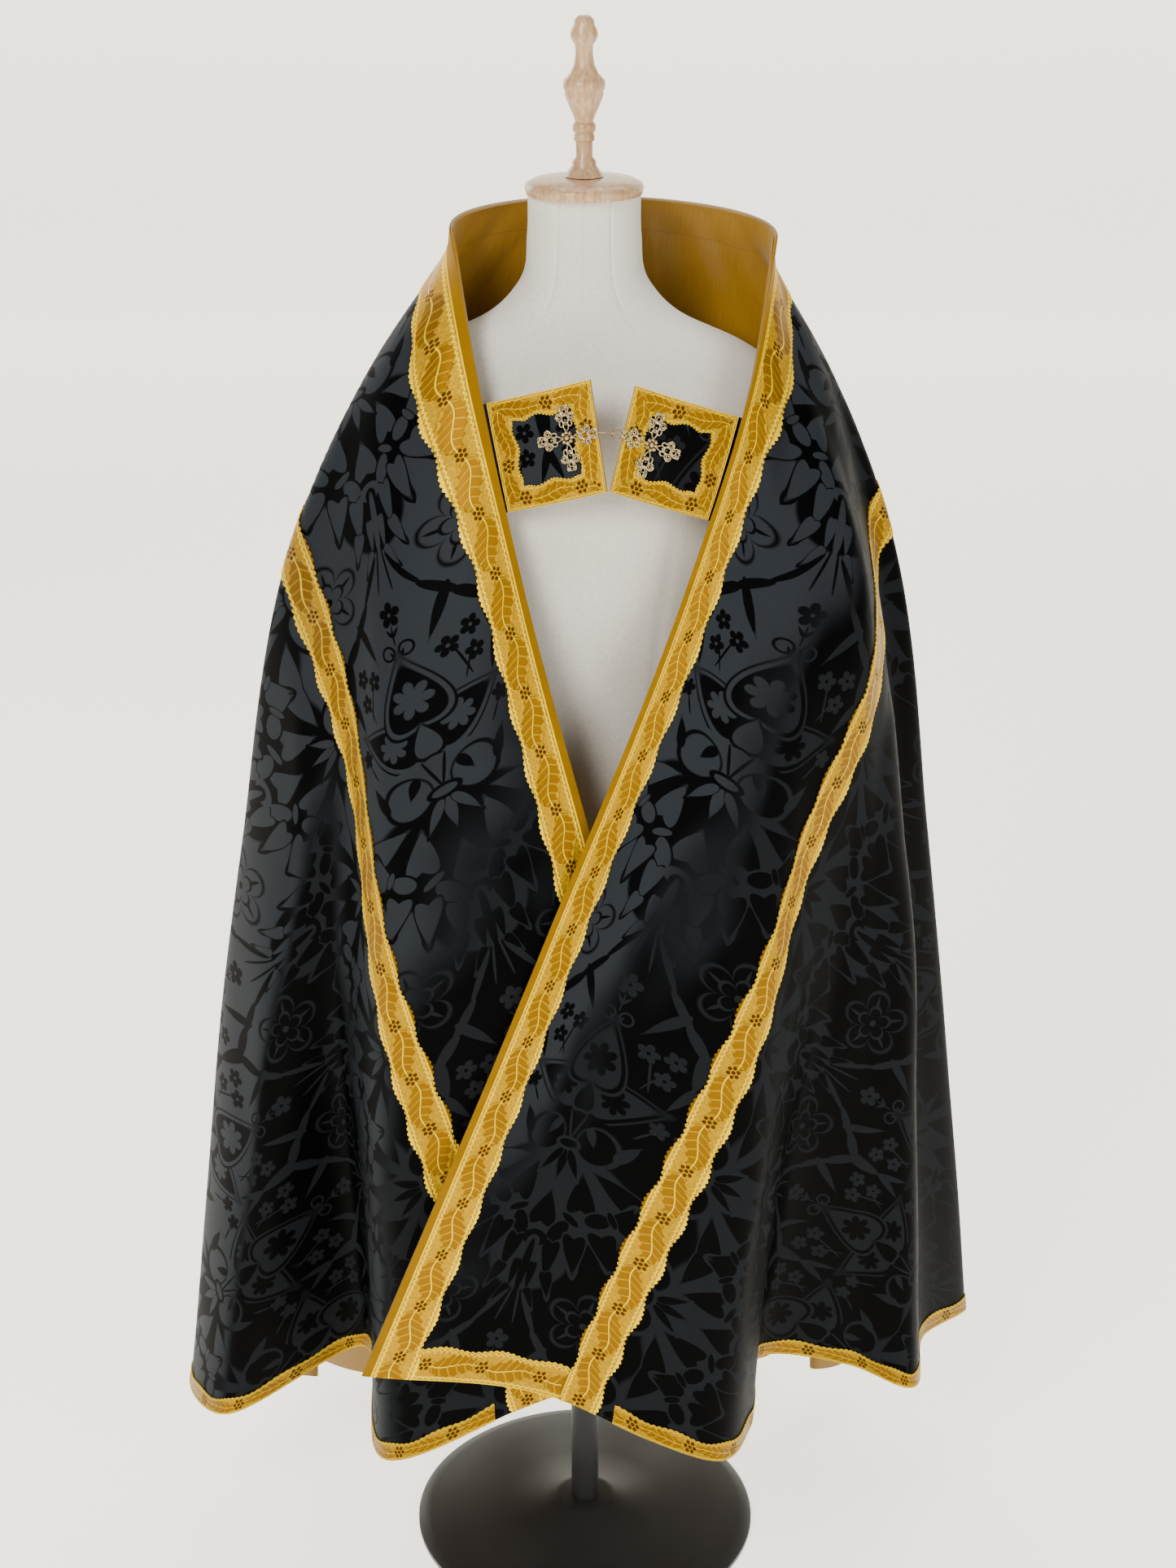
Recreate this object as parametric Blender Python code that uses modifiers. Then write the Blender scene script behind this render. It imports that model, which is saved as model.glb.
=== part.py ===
"""A black and gold cope standing on a limbless dress form.

Metres, +Z up, the front looks towards -Y. The origin is on the floor, on the form's axis.
The cope is cut as a half circle. "share" runs round its hem from the under front edge (0)
by way of the centre back (0.5) to the over front edge (1). "fall" runs from the collar
rim (0) to the hem (1). Every cloth piece is laid out on the flat cut and then draped.
"""
import math
from collections import namedtuple

import bmesh
import bpy
import numpy as np
from mathutils import Matrix, Vector

# The flat cut of the cope
RADIUS = 1.50
NECK_EDGE = 0.44
BAND_WIDTH = 0.238
EDGE_GALLOON = 0.055
OUTER_GALLOON_IN = 0.019
OUTER_GALLOON_OUT = 0.018
FOOT_GALLOON = 0.040
HEM_GALLOON = 0.020
TIP_EXTRA = 0.001
SIDE_SEAMS = (0.34, 0.66)
LINING_REACH = 0.47
LINING_ROWS = 2

# The layers, as distances from the middle of the cloth
CLOTH = 0.002
GALLOON = 0.0012
LINING = 0.001
GAP = 0.0003
SEAM_GAP = 0.0005
SHARP = math.radians(50)

# The heights of the sections between rim and hem
SHOULDER_Z = 1.40
CHEST_Z = 1.22
WAIST_Z = 0.88

# The collar rim, a half ring that stands off the neck
RIM_CENTRE_X = 0.029
RIM_HALF_WIDTH = 0.161
RIM_DEPTH = 0.097
RIM_Z = 1.541
RIM_LIFT = 0.016
RIM_TILT = 0.004

# How much of the cloth each grid step may take along the band, and body rows
STATION_STEP = 0.055
SHARE_STEP = 0.0165
BODY_ROWS = 9
BAND_LINES = (0.0, EDGE_GALLOON, 0.097, 0.138, 0.179, BAND_WIDTH - OUTER_GALLOON_IN)

Fold = namedtuple("Fold", "name share shoulder chest waist hem")

# Fold lines of the under front, from its edge to the side: (x, y) at the three
# sections, (x, y, z) at the hem
UNDER_FRONT = [
    Fold("edge", 0.000, (-0.102, -0.080), (-0.061, -0.140), (0.030, -0.205), (0.135, -0.235, 0.390)),
    Fold("band end", 0.0486, (-0.1375, -0.070), (-0.1155, -0.150), (-0.087, -0.222), (-0.051, -0.233, 0.325)),
    Fold("crest", 0.085, (-0.166, -0.052), (-0.1775, -0.132), (-0.193, -0.205), (-0.212, -0.234, 0.250)),
    Fold("valley", 0.132, (-0.189, -0.035), (-0.224, -0.089), (-0.254, -0.118), (-0.262, -0.015, 0.250)),
    Fold("lobe", 0.167, (-0.206, -0.013), (-0.262, -0.045), (-0.318, -0.098), (-0.412, -0.086, 0.205)),
    Fold("side", 0.196, (-0.216, 0.010), (-0.302, 0.006), (-0.371, 0.000), (-0.466, 0.017, 0.185)),
    Fold("side back", 0.2145, (-0.2135, 0.020), (-0.289, 0.021), (-0.352, 0.021), (-0.430, 0.052, 0.184)),
]

# Fold lines of the over front, from the side to its edge
OVER_FRONT = [
    Fold("side back", 0.758, (0.231, 0.054), (0.296, 0.084), (0.352, 0.112), (0.402, 0.166, 0.187)),
    Fold("side", 0.775, (0.246, 0.035), (0.322, 0.055), (0.378, 0.070), (0.468, 0.155, 0.190)),
    Fold("deep fold", 0.797, (0.243, 0.016), (0.301, 0.029), (0.335, 0.018), (0.408, 0.072, 0.205)),
    Fold("crest", 0.826, (0.235, -0.008), (0.2905, -0.036), (0.337, -0.078), (0.376, -0.057, 0.220)),
    Fold("soft valley", 0.846, (0.225, -0.022), (0.2855, -0.068), (0.297, -0.114), (0.306, -0.036, 0.238)),
    Fold("valley", 0.867, (0.216, -0.036), (0.278, -0.096), (0.261, -0.138), (0.205, -0.055, 0.264)),
    Fold("fold edge", 0.896, (0.2075, -0.046), (0.2405, -0.122), (0.2135, -0.192), (0.178, -0.208, 0.275)),
    Fold("crest", 0.914, (0.199, -0.055), (0.208, -0.138), (0.186, -0.222), (0.146, -0.275, 0.281)),
    Fold("panel", 0.933, (0.188, -0.068), (0.1665, -0.150), (0.129, -0.240), (0.068, -0.293, 0.320)),
    Fold("band end", 0.9514, (0.178, -0.074), (0.1435, -0.151), (0.064, -0.244), (-0.018, -0.290, 0.365)),
    Fold("edge", 1.000, (0.162, -0.080), (0.102, -0.145), (-0.0355, -0.225), (-0.234, -0.286, 0.395)),
]

# Folds round the back: bearing in degrees from the -X side, how far the fold line lies
# inside the outer ring of the hem. Each is rounded over a share and a bearing to each side.
ROUND_BEARING = 3.4
ROUND_SHARE = 0.0062
ROUND_DROP = 0.016
VALLEY_TIGHTER = 0.35
SPREAD_SHARES = (0.196, 0.5, 0.775)
SPREAD_BEARINGS = (0, 90, 157)
BackFold = namedtuple("BackFold", "share bearing inset")
BACK = [
    BackFold(0.237, 12, 0.140), BackFold(0.279, 26, 0.000), BackFold(0.320, 36, 0.165),
    BackFold(0.361, 50, 0.008), BackFold(0.403, 61, 0.150), BackFold(0.444, 74, 0.000),
    BackFold(0.486, 86, 0.170), BackFold(0.527, 97, 0.010), BackFold(0.568, 106, 0.145),
    BackFold(0.610, 117, 0.000), BackFold(0.651, 126, 0.165), BackFold(0.693, 137, 0.006),
    BackFold(0.734, 147, 0.135),
]

# The outer ring at each section: centre, half width, depth behind the centre, and how
# much of the hem's fold depth is there
Ring = namedtuple("Ring", "x y half_width depth fold")
SHOULDER_RING = Ring(0.015, 0.010, 0.232, 0.122, 0.05)
CHEST_RING = Ring(0.015, 0.010, 0.306, 0.160, 0.17)
WAIST_RING = Ring(0.004, 0.010, 0.375, 0.232, 0.50)
HEM_RING = Ring(0.000, 0.020, 0.470, 0.335, 1.00)
HEM_SIDE_Z = 0.185
HEM_BACK_Z = 0.100

# The clasp tabs: where each starts down the band, its height, and its inner top corner.
# Both inner low corners part from one meeting point.
Tab = namedtuple("Tab", "name side start height top")
UNDER_TAB = Tab("under", -1, 0.412, 0.114, (0.006, -0.128, 1.420))
OVER_TAB = Tab("over", 1, 0.413, 0.107, (0.049, -0.128, 1.414))
TAB_MEET = (0.0235, -0.158, 1.317)
TAB_PART = 0.0012
TAB_BORDER = 0.023
TAB_LINES = (0.37, 0.62)
TAB_TONGUE = 0.014
TAB_EDGE = 0.0004
TAB_SLIVER = 0.004
TAB_CLEAR = 0.0020
TAB_BOW = 0.003

# The filigree crosses
CROSS_THICK = 0.002
CROSS_RAISED = 0.020
UNDER_CROSS = (-0.013, 1.363, math.radians(9))
OVER_CROSS = (0.062, 1.357, math.radians(-19))
WIRE_RADIUS = 0.0008
LINK_RADIUS = 0.0048
LINK_AT = 0.0030
HOOK_BACK = 0.0023
HOOK_FRONT = 0.0030

# The dress form
POLE_RADIUS = 0.016
BASE_RADIUS = 0.200
BASE_HEIGHT = 0.030
TORSO_FOOT = 0.790
NECK_TOP = 1.575
SEGMENTS = 28
FINIAL_SEGMENTS = 16

BLACK = ("black damask", (0.012, 0.012, 0.013, 1), 0.42, 0.0)
GOLD_BRAID = ("gold galloon", (0.62, 0.42, 0.15, 1), 0.50, 0.0)
GOLD_LINING = ("mustard satin lining", (0.50, 0.31, 0.07, 1), 0.45, 0.0)
FILIGREE = ("antique gold filigree", (0.80, 0.66, 0.40, 1), 0.32, 1.0)
BEECH = ("turned beech", (0.52, 0.33, 0.18, 1), 0.38, 0.0)
COVER = ("ivory form cover", (0.78, 0.74, 0.66, 1), 0.85, 0.0)
IRON = ("black iron stand", (0.03, 0.03, 0.03, 1), 0.45, 1.0)


def new_collection(name):
    collection = bpy.data.collections.new(name)
    bpy.context.scene.collection.children.link(collection)
    return collection


def material(finish):
    name, colour, roughness, metallic = finish
    made = bpy.data.materials.get(name) or bpy.data.materials.new(name)
    made.use_nodes = True
    shader = made.node_tree.nodes["Principled BSDF"]
    shader.inputs["Base Color"].default_value = colour
    shader.inputs["Roughness"].default_value = roughness
    shader.inputs["Metallic"].default_value = metallic
    return made


def place(obj, name, finish):
    """Name an object, give it its finish and move it to the part's collection."""
    obj.name = name
    obj.data.name = name
    for owner in list(obj.users_collection):
        owner.objects.unlink(obj)
    PART.objects.link(obj)
    obj.data.materials.clear()
    obj.data.materials.append(material(finish))
    return obj


def hermite(knots, values, at):
    """A smooth curve through values at knots, read at one place."""
    last = len(knots) - 1
    k = int(np.clip(np.searchsorted(knots, at, side="right") - 1, 0, last - 1))

    def slope(i):
        if i == 0:
            return (values[1] - values[0]) / (knots[1] - knots[0])
        if i == last:
            return (values[last] - values[last - 1]) / (knots[last] - knots[last - 1])
        before = knots[i] - knots[i - 1]
        after = knots[i + 1] - knots[i]
        left = (values[i] - values[i - 1]) / before
        right = (values[i + 1] - values[i]) / after
        return (left * after + right * before) / (before + after)

    width = knots[k + 1] - knots[k]
    t = (at - knots[k]) / width
    return ((2 * t**3 - 3 * t**2 + 1) * values[k] + (t**3 - 2 * t**2 + t) * width * slope(k)
            + (3 * t**2 - 2 * t**3) * values[k + 1] + (t**3 - t**2) * width * slope(k + 1))


def ring_point(ring, share, bearing, inset):
    """A point of a section's outer ring, moved in by its part of the fold depth. Where the
    folds are shallow, the cloth is spread evenly over the bearings."""
    even = float(np.interp(share, SPREAD_SHARES, SPREAD_BEARINGS))
    angle = math.radians(even + (bearing - even) * ring.fold)
    depth = inset * ring.fold
    return (ring.x - (ring.half_width - depth) * math.cos(angle),
            ring.y + (ring.depth - depth) * math.sin(angle))


def back_lines(row):
    """The three lines that round one fold of the back: a crest drops away to both sides,
    and a valley rises."""
    tighter = 1 - VALLEY_TIGHTER * row.inset / BACK_DEPTH
    drop = -ROUND_DROP if row.inset > BACK_DEPTH / 2 else ROUND_DROP
    lines = []
    for side in (-1, 0, 1):
        bearing = row.bearing + side * ROUND_BEARING
        share = row.share + side * ROUND_SHARE * tighter
        inset = row.inset + drop * abs(side)
        hem_x, hem_y = ring_point(HEM_RING, share, bearing, inset)
        rise = HEM_SIDE_Z - HEM_BACK_Z
        hem_z = HEM_BACK_Z + rise * (1 - math.sin(math.radians(bearing)))**2
        upper = [ring_point(ring, share, bearing, inset)
                 for ring in (SHOULDER_RING, CHEST_RING, WAIST_RING)]
        lines.append(Fold("back", share, *upper, (hem_x, hem_y, hem_z)))
    return lines


BACK_DEPTH = max(row.inset for row in BACK)
FOLDS = UNDER_FRONT + [line for row in BACK for line in back_lines(row)] + OVER_FRONT
SHARES = np.array([fold.share for fold in FOLDS])
SECTIONS = [
    np.array([(*fold.shoulder, SHOULDER_Z) for fold in FOLDS]),
    np.array([(*fold.chest, CHEST_Z) for fold in FOLDS]),
    np.array([(*fold.waist, WAIST_Z) for fold in FOLDS]),
    np.array([fold.hem for fold in FOLDS]),
]
COLUMN_STEPS = 40
columns = {}


def rim_point(share):
    angle = math.pi * share
    lift = RIM_LIFT * math.sin(angle)
    return np.array((RIM_CENTRE_X - RIM_HALF_WIDTH * math.cos(angle), RIM_DEPTH * math.sin(angle),
                     RIM_Z + lift + RIM_TILT * math.cos(angle)))


def column(share):
    """The drape line of one share, as points at even distances from rim to hem."""
    key = round(share, 6)
    if key in columns:
        return columns[key]
    corners = [rim_point(share)] + [hermite(SHARES, section, share) for section in SECTIONS]
    lengths = [float(np.linalg.norm(b - a)) for a, b in zip(corners, corners[1:])]
    knots = np.concatenate(([0.0], np.cumsum(lengths)))
    fine = np.array([hermite(knots, corners, knots[-1] * i / COLUMN_STEPS)
                     for i in range(COLUMN_STEPS + 1)])
    walked = np.concatenate(([0.0], np.cumsum(np.linalg.norm(np.diff(fine, axis=0), axis=1))))
    columns[key] = (walked, fine)
    return columns[key]


def draped(share, fall):
    walked, fine = column(min(max(share, 0.0), 1.0))
    return hermite(walked, fine, walked[-1] * min(max(fall, 0.0), 1.0))


def draped_normal(share, fall):
    """The outward direction of the cloth at one place."""
    e = 0.002
    across = draped(share + e, fall) - draped(share - e, fall)
    down = draped(share, fall + e) - draped(share, fall - e)
    normal = np.cross(across, down)
    return normal / np.linalg.norm(normal)


def rim_x(share):
    return NECK_EDGE * (share - 0.5)


def on_cut(x, y):
    """The share and fall of a point of the flat cut: x along the straight edge from the
    centre back, y away from it."""
    y = max(y, 0.0001)
    low = math.asin(min(y / RADIUS, 1.0)) / math.pi
    high = 1 - low
    for _ in range(40):
        share = (low + high) / 2
        fall = y / (RADIUS * math.sin(math.pi * share))
        reach = rim_x(share) * (1 - fall) - fall * RADIUS * math.cos(math.pi * share)
        if reach < x:
            low = share
        else:
            high = share
    return share, min(y / (RADIUS * math.sin(math.pi * share)), 1.0)


def cut_x(share, y):
    """Where the drape line of a share crosses the distance y from the straight edge."""
    fall = y / (RADIUS * math.sin(math.pi * share))
    return rim_x(share) * (1 - fall) - y / math.tan(math.pi * share)


def fall_at(share, y):
    return min(y / (RADIUS * math.sin(math.pi * share)), 1.0)


def hem_fall(share):
    """The fall of the hem galloon's upper edge."""
    length = column(share)[0][-1]
    line = 1 - HEM_GALLOON / length
    return max(line, (1 + fall_at(share, BAND_WIDTH + OUTER_GALLOON_OUT)) / 2)


TIP_WIDTH = BAND_WIDTH + OUTER_GALLOON_OUT + TIP_EXTRA
TIP_SHARE = math.asin(TIP_WIDTH / RADIUS) / math.pi
TIP_STATIONS = 3


def body_shares():
    """The drape lines that the grids use: every fold line and even steps between."""
    lines = [TIP_SHARE] + [s for s in SHARES if TIP_SHARE < s < 1 - TIP_SHARE] + [1 - TIP_SHARE]
    lines = sorted(set(lines) | set(SIDE_SEAMS) | {0.5})
    found = []
    for a, b in zip(lines, lines[1:]):
        near, far = cut_x(a, BAND_WIDTH), cut_x(b, BAND_WIDTH)
        least = math.ceil((b - a) / SHARE_STEP)
        steps = max(least, math.ceil((far - near) / STATION_STEP))
        for i in range(steps):
            x = near + (far - near) * i / steps
            evenly = a + (b - a) * i / steps
            along = on_cut(x, BAND_WIDTH)[0]
            found.append(along if steps > least else evenly)
    return found + [lines[-1]]


BODY_SHARES = body_shares()
TIP_X = cut_x(BODY_SHARES[-1], BAND_WIDTH)
TIP_HEM_X = math.sqrt(RADIUS**2 - TIP_WIDTH**2)


def tip_spot(side, t, y):
    """A spot of the band's lowest stretch, t from the hem (0) to the first body line (1)."""
    x = side * ((1 - t) * math.sqrt(RADIUS**2 - y * y) + t * TIP_X)
    return on_cut(x, y)


def band_edge(t):
    return TIP_WIDTH + (BAND_WIDTH - TIP_WIDTH) * t


def stations():
    """Cross lines of the band, from the under hem to the over hem, as (x, tip, share)."""
    tips = [i / TIP_STATIONS for i in range(TIP_STATIONS)]
    lines = [(-1, t, None) for t in tips]
    lines += [(0, 1.0, share) for share in BODY_SHARES]
    lines += [(1, t, None) for t in reversed(tips)]
    return lines


STATIONS = stations()


def band_spot(station, y):
    side, t, share = station
    if share is None:
        return tip_spot(side, t, y)
    return on_cut(cut_x(share, BAND_WIDTH), y)


def band_side_lines(station, seam):
    """The band's spots across one station, stopping a seam short of the body."""
    edge = band_edge(station[1])
    return [band_spot(station, y) for y in BAND_LINES + (edge - seam,)]


def body_falls(share, seam):
    """The falls of the body's rows along one drape line."""
    start = fall_at(share, BAND_WIDTH + seam)
    galloon = fall_at(share, BAND_WIDTH + OUTER_GALLOON_OUT)
    hem = hem_fall(share)
    middle = [galloon + (hem - galloon) * i / BODY_ROWS for i in range(BODY_ROWS)]
    return [start] + middle + [hem, 1.0]


def shell(name, points, normals, low, high, finish, keep=None):
    """A closed wall over a grid of points, between two distances along their normals."""
    rows, cols = len(points), len(points[0])
    kept = keep or (lambda i, j: True)
    mesh = bpy.data.meshes.new(name)
    bm = bmesh.new()
    layers = []
    for distance in (high, low):
        layers.append({})
        for i in range(rows):
            for j in range(cols):
                spot = Vector(points[i][j]) + Vector(normals[i][j]) * distance
                layers[-1][i, j] = bm.verts.new(spot)
    outer, inner = layers

    def cell(i, j):
        return 0 <= i < rows - 1 and 0 <= j < cols - 1 and kept(i, j)

    def side(a, b):
        bm.faces.new((outer[a], inner[a], inner[b]))
        bm.faces.new((outer[a], inner[b], outer[b]))

    for i in range(rows - 1):
        for j in range(cols - 1):
            if not cell(i, j):
                continue
            a, b, c, d = (i, j), (i + 1, j), (i + 1, j + 1), (i, j + 1)
            bm.faces.new((outer[a], outer[b], outer[c]))
            bm.faces.new((outer[a], outer[c], outer[d]))
            bm.faces.new((inner[a], inner[c], inner[b]))
            bm.faces.new((inner[a], inner[d], inner[c]))
            if not cell(i, j - 1):
                side(a, b)
            if not cell(i + 1, j):
                side(b, c)
            if not cell(i, j + 1):
                side(c, d)
            if not cell(i - 1, j):
                side(d, a)
    loose = [v for v in bm.verts if not v.link_faces]
    bmesh.ops.delete(bm, geom=loose, context="VERTS")
    bmesh.ops.recalc_face_normals(bm, faces=bm.faces)
    bm.to_mesh(mesh)
    bm.free()
    mesh.shade_smooth()
    mesh.set_sharp_from_angle(angle=SHARP)
    return place(bpy.data.objects.new(name, mesh), name, finish)


def cloth(name, spots, low, high, finish, keep=None):
    """A wall draped over spots of the cut, each a share and a fall."""
    points = [[draped(*spot) for spot in row] for row in spots]
    normals = [[draped_normal(*spot) for spot in row] for row in spots]
    return shell(name, points, normals, low, high, finish, keep)


HALF = CLOTH / 2
ON_CLOTH = (HALF + GAP, HALF + GAP + GALLOON)
IN_CLOTH = (-HALF - GAP - LINING, -HALF - GAP)


def beside(spot, distance):
    """A spot moved across the drape lines by a real distance."""
    share, fall = spot
    e = 0.001
    pace = float(np.linalg.norm(draped(share + e, fall) - draped(share - e, fall))) / (2 * e)
    return share + distance / pace, fall


def between_seams(spots_at, start, end):
    """Rows of spots for the drape lines between two seams, drawn back from each seam."""
    shares = [s for s in BODY_SHARES if start - 1e-6 <= s <= end + 1e-6]
    rows = [spots_at(s) for s in shares]
    if start > BODY_SHARES[0] + 1e-6:
        rows[0] = [beside(spot, SEAM_GAP) for spot in rows[0]]
    if end < BODY_SHARES[-1] - 1e-6:
        rows[-1] = [beside(spot, -SEAM_GAP) for spot in rows[-1]]
    return rows


def make_body():
    """Three damask panels: the wearer's right side, the back and the left side."""
    bounds = [BODY_SHARES[0], *SIDE_SEAMS, BODY_SHARES[-1]]
    names = ["body_under_side", "body_back", "body_over_side"]
    for name, start, end in zip(names, bounds, bounds[1:]):
        spots = between_seams(lambda s: [(s, f) for f in body_falls(s, SEAM_GAP)], start, end)
        cloth(name, spots, -HALF, HALF, BLACK)
        hem = between_seams(lambda s: [(s, hem_fall(s)), (s, 1.0)], start, end)
        hem = [row for row in hem if hem_is_clear(row[0][0])]
        cloth(name.replace("body", "hem_galloon"), hem, *ON_CLOTH, GOLD_BRAID)


def hem_is_clear(share):
    """True where the hem galloon's upper edge lies beyond the outer galloon."""
    beyond = fall_at(share, BAND_WIDTH + OUTER_GALLOON_OUT + GAP)
    return 1 - HEM_GALLOON / column(share)[0][-1] > beyond


def make_bands():
    """The two orphrey bands, joined at the centre back, and the galloons on them."""
    middle = min(range(len(STATIONS)), key=lambda i: abs((STATIONS[i][2] or 0) - 0.5))
    for name, run, side in (("under", STATIONS[:middle + 1], -1), ("over", STATIONS[middle:], 1)):
        spots = [band_side_lines(station, SEAM_GAP) for station in run]
        at_seam = -1 if side < 0 else 0
        seam_x = cut_x(STATIONS[middle][2], BAND_WIDTH) + side * SEAM_GAP
        lines = BAND_LINES + (BAND_WIDTH - SEAM_GAP,)
        spots[at_seam] = [on_cut(seam_x, y) for y in lines]
        cloth("orphrey_" + name, spots, -HALF, HALF, BLACK)
        cloth("edge_galloon_" + name, [row[:2] for row in spots], *ON_CLOTH, GOLD_BRAID)
        outer = []
        for station, row in zip(run, spots):
            outer.append([row[-2], row[-1], outer_spot(station)])
        if side < 0:
            outer[-1][2] = on_cut(seam_x, BAND_WIDTH + OUTER_GALLOON_OUT)
        else:
            outer[0][2] = on_cut(seam_x, BAND_WIDTH + OUTER_GALLOON_OUT)
        on_body = [station[2] is not None for station in run]
        cloth("outer_galloon_" + name, outer, *ON_CLOTH, GOLD_BRAID,
              lambda i, j: j == 0 or (on_body[i] and on_body[i + 1]))
        make_foot_galloon(name, side)


def outer_spot(station):
    """A spot of the outer galloon's edge on the body, on the body's own drape lines."""
    side, t, share = station
    if share is None:
        return tip_spot(side, t, TIP_WIDTH)
    return share, fall_at(share, BAND_WIDTH + OUTER_GALLOON_OUT)


def make_foot_galloon(name, side):
    """The wide galloon across the foot of a band, between its two long galloons."""
    first = 1 / TIP_STATIONS
    reach = FOOT_GALLOON / (math.sqrt(RADIUS**2 - BAND_WIDTH**2) - TIP_X)
    lines = [EDGE_GALLOON + GAP] + list(BAND_LINES[2:-1]) + [BAND_LINES[-1] - GAP]
    spots = [[tip_spot(side, t, y) for y in lines] for t in (0.0, min(reach, first))]
    rows = spots if side < 0 else spots[::-1]
    cloth("foot_galloon_" + name, rows, *ON_CLOTH, GOLD_BRAID)


def make_lining():
    """The satin lining where the open neck shows it."""
    inside = [st for st in STATIONS if st[2] is not None
              and abs(cut_x(st[2], BAND_WIDTH)) <= LINING_REACH]
    spots = []
    for station in inside:
        share = station[2]
        row = [band_spot(station, y) for y in BAND_LINES + (BAND_WIDTH,)]
        row += [(share, f) for f in body_falls(share, GAP)[1:1 + LINING_ROWS]]
        spots.append(row)
    cloth("neck_lining", spots, *IN_CLOTH, GOLD_LINING)


def grid_normals(points):
    """Outward directions of a free grid, from its neighbours."""
    rows, cols = len(points), len(points[0])
    found = []
    for i in range(rows):
        found.append([])
        for j in range(cols):
            down = points[min(i + 1, rows - 1)][j] - points[max(i - 1, 0)][j]
            across = points[i][min(j + 1, cols - 1)] - points[i][max(j - 1, 0)]
            normal = Vector(across).cross(Vector(down))
            found[-1].append(normal.normalized())
    return found


def tab_grid(tab):
    """Points of a clasp tab: rows from top to bottom, columns from the sewn side in."""
    inset = HALF + GAP + LINING + TAB_CLEAR + HALF
    top = np.array(tab.top)
    low = np.array(TAB_MEET) + np.array((tab.side * TAB_PART, 0, 0))
    marks = (0.0, TAB_BORDER, *(line * tab.height for line in TAB_LINES),
             tab.height - TAB_BORDER, tab.height)
    grid = []
    for mark in marks:
        x = tab.side * (tab.start + mark)
        sewn = []
        for y in (TAB_TONGUE, TAB_EDGE):
            spot = on_cut(x, y)
            sewn.append(draped(*spot) - draped_normal(*spot) * inset)
        t = mark / tab.height
        inner = top * (1 - t) + low * t
        width = float(np.linalg.norm(inner - sewn[1]))
        stops = (TAB_SLIVER, TAB_SLIVER + TAB_BORDER, width / 2, width - TAB_BORDER, width)
        row = list(sewn)
        for stop in stops:
            share = stop / width
            spot = sewn[1] * (1 - share) + inner * share
            spot = spot + np.array((0, -TAB_BOW * math.sin(math.pi * share), 0))
            row.append(spot)
        grid.append(row)
    if tab.side > 0:
        grid = [row[::-1] for row in grid]
    return grid


def make_tab(tab):
    """A damask tab with its galloon frame. The part sewn behind the front edge has none."""
    grid = tab_grid(tab)
    normals = [[-n if n.y > 0 else n for n in row] for row in grid_normals(grid)]
    cloth_part = shell("clasp_tab_" + tab.name, grid, normals, -HALF, HALF, BLACK)
    rows, cols = len(grid) - 1, len(grid[0]) - 1
    sewn = 2
    near, far = (sewn, cols - 1) if tab.side < 0 else (0, cols - 1 - sewn)

    def border(i, j):
        if j < near or j > far:
            return False
        return i in (0, rows - 1) or j in (near, far)

    frame = shell("tab_galloon_" + tab.name, grid, normals, *ON_CLOTH, GOLD_BRAID, border)
    return grid, normals, (cloth_part, frame)


CrossRow = namedtuple("CrossRow", "radius half_width")
CROSS_ARM = [
    CrossRow(0.0075, 0.0040), CrossRow(0.0120, 0.0038), CrossRow(0.0155, 0.0062),
    CrossRow(0.0190, 0.0098), CrossRow(0.0222, 0.0104), CrossRow(0.0245, 0.0078),
    CrossRow(0.0262, 0.0058), CrossRow(0.0290, 0.0052), CrossRow(0.0310, 0.0026),
]
HEART_AT = 0.0200
HEART_SIZE = 0.0042
HOLE_STEPS = 8


def cross_outline():
    """The outer line of a cross with trefoil arms, one arm after another."""
    line = []
    for arm in range(4):
        turn = Matrix.Rotation(arm * math.pi / 2, 2)
        rising = [Vector((row.radius, -row.half_width)) for row in CROSS_ARM]
        falling = [Vector((row.radius, row.half_width)) for row in reversed(CROSS_ARM)]
        line += [turn @ p for p in rising + falling]
    return line


def cross_hole(arm):
    """One heart-shaped opening, near the end of an arm."""
    turn = Matrix.Rotation(arm * math.pi / 2, 2)
    line = []
    for i in range(HOLE_STEPS):
        angle = 2 * math.pi * i / HOLE_STEPS
        reach = HEART_SIZE * (1 - 0.35 * math.cos(angle))
        line.append(turn @ Vector((HEART_AT + reach * math.cos(angle), reach * math.sin(angle))))
    return line


def settle(obj, towards, carriers):
    """Move a piece along a direction until it is a gap away from what carries it."""
    reach = min(hit for vertex in obj.data.vertices
                for hit in [free_way(obj.matrix_world @ vertex.co, towards, carriers)] if hit)
    obj.matrix_world = Matrix.Translation(towards * (reach - GAP)) @ obj.matrix_world


def free_way(start, towards, carriers):
    ways = []
    for carrier in carriers:
        hit, spot, _, _ = carrier.ray_cast(start, towards)
        if hit:
            ways.append((spot - start).length)
    return min(ways) if ways else None


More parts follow.
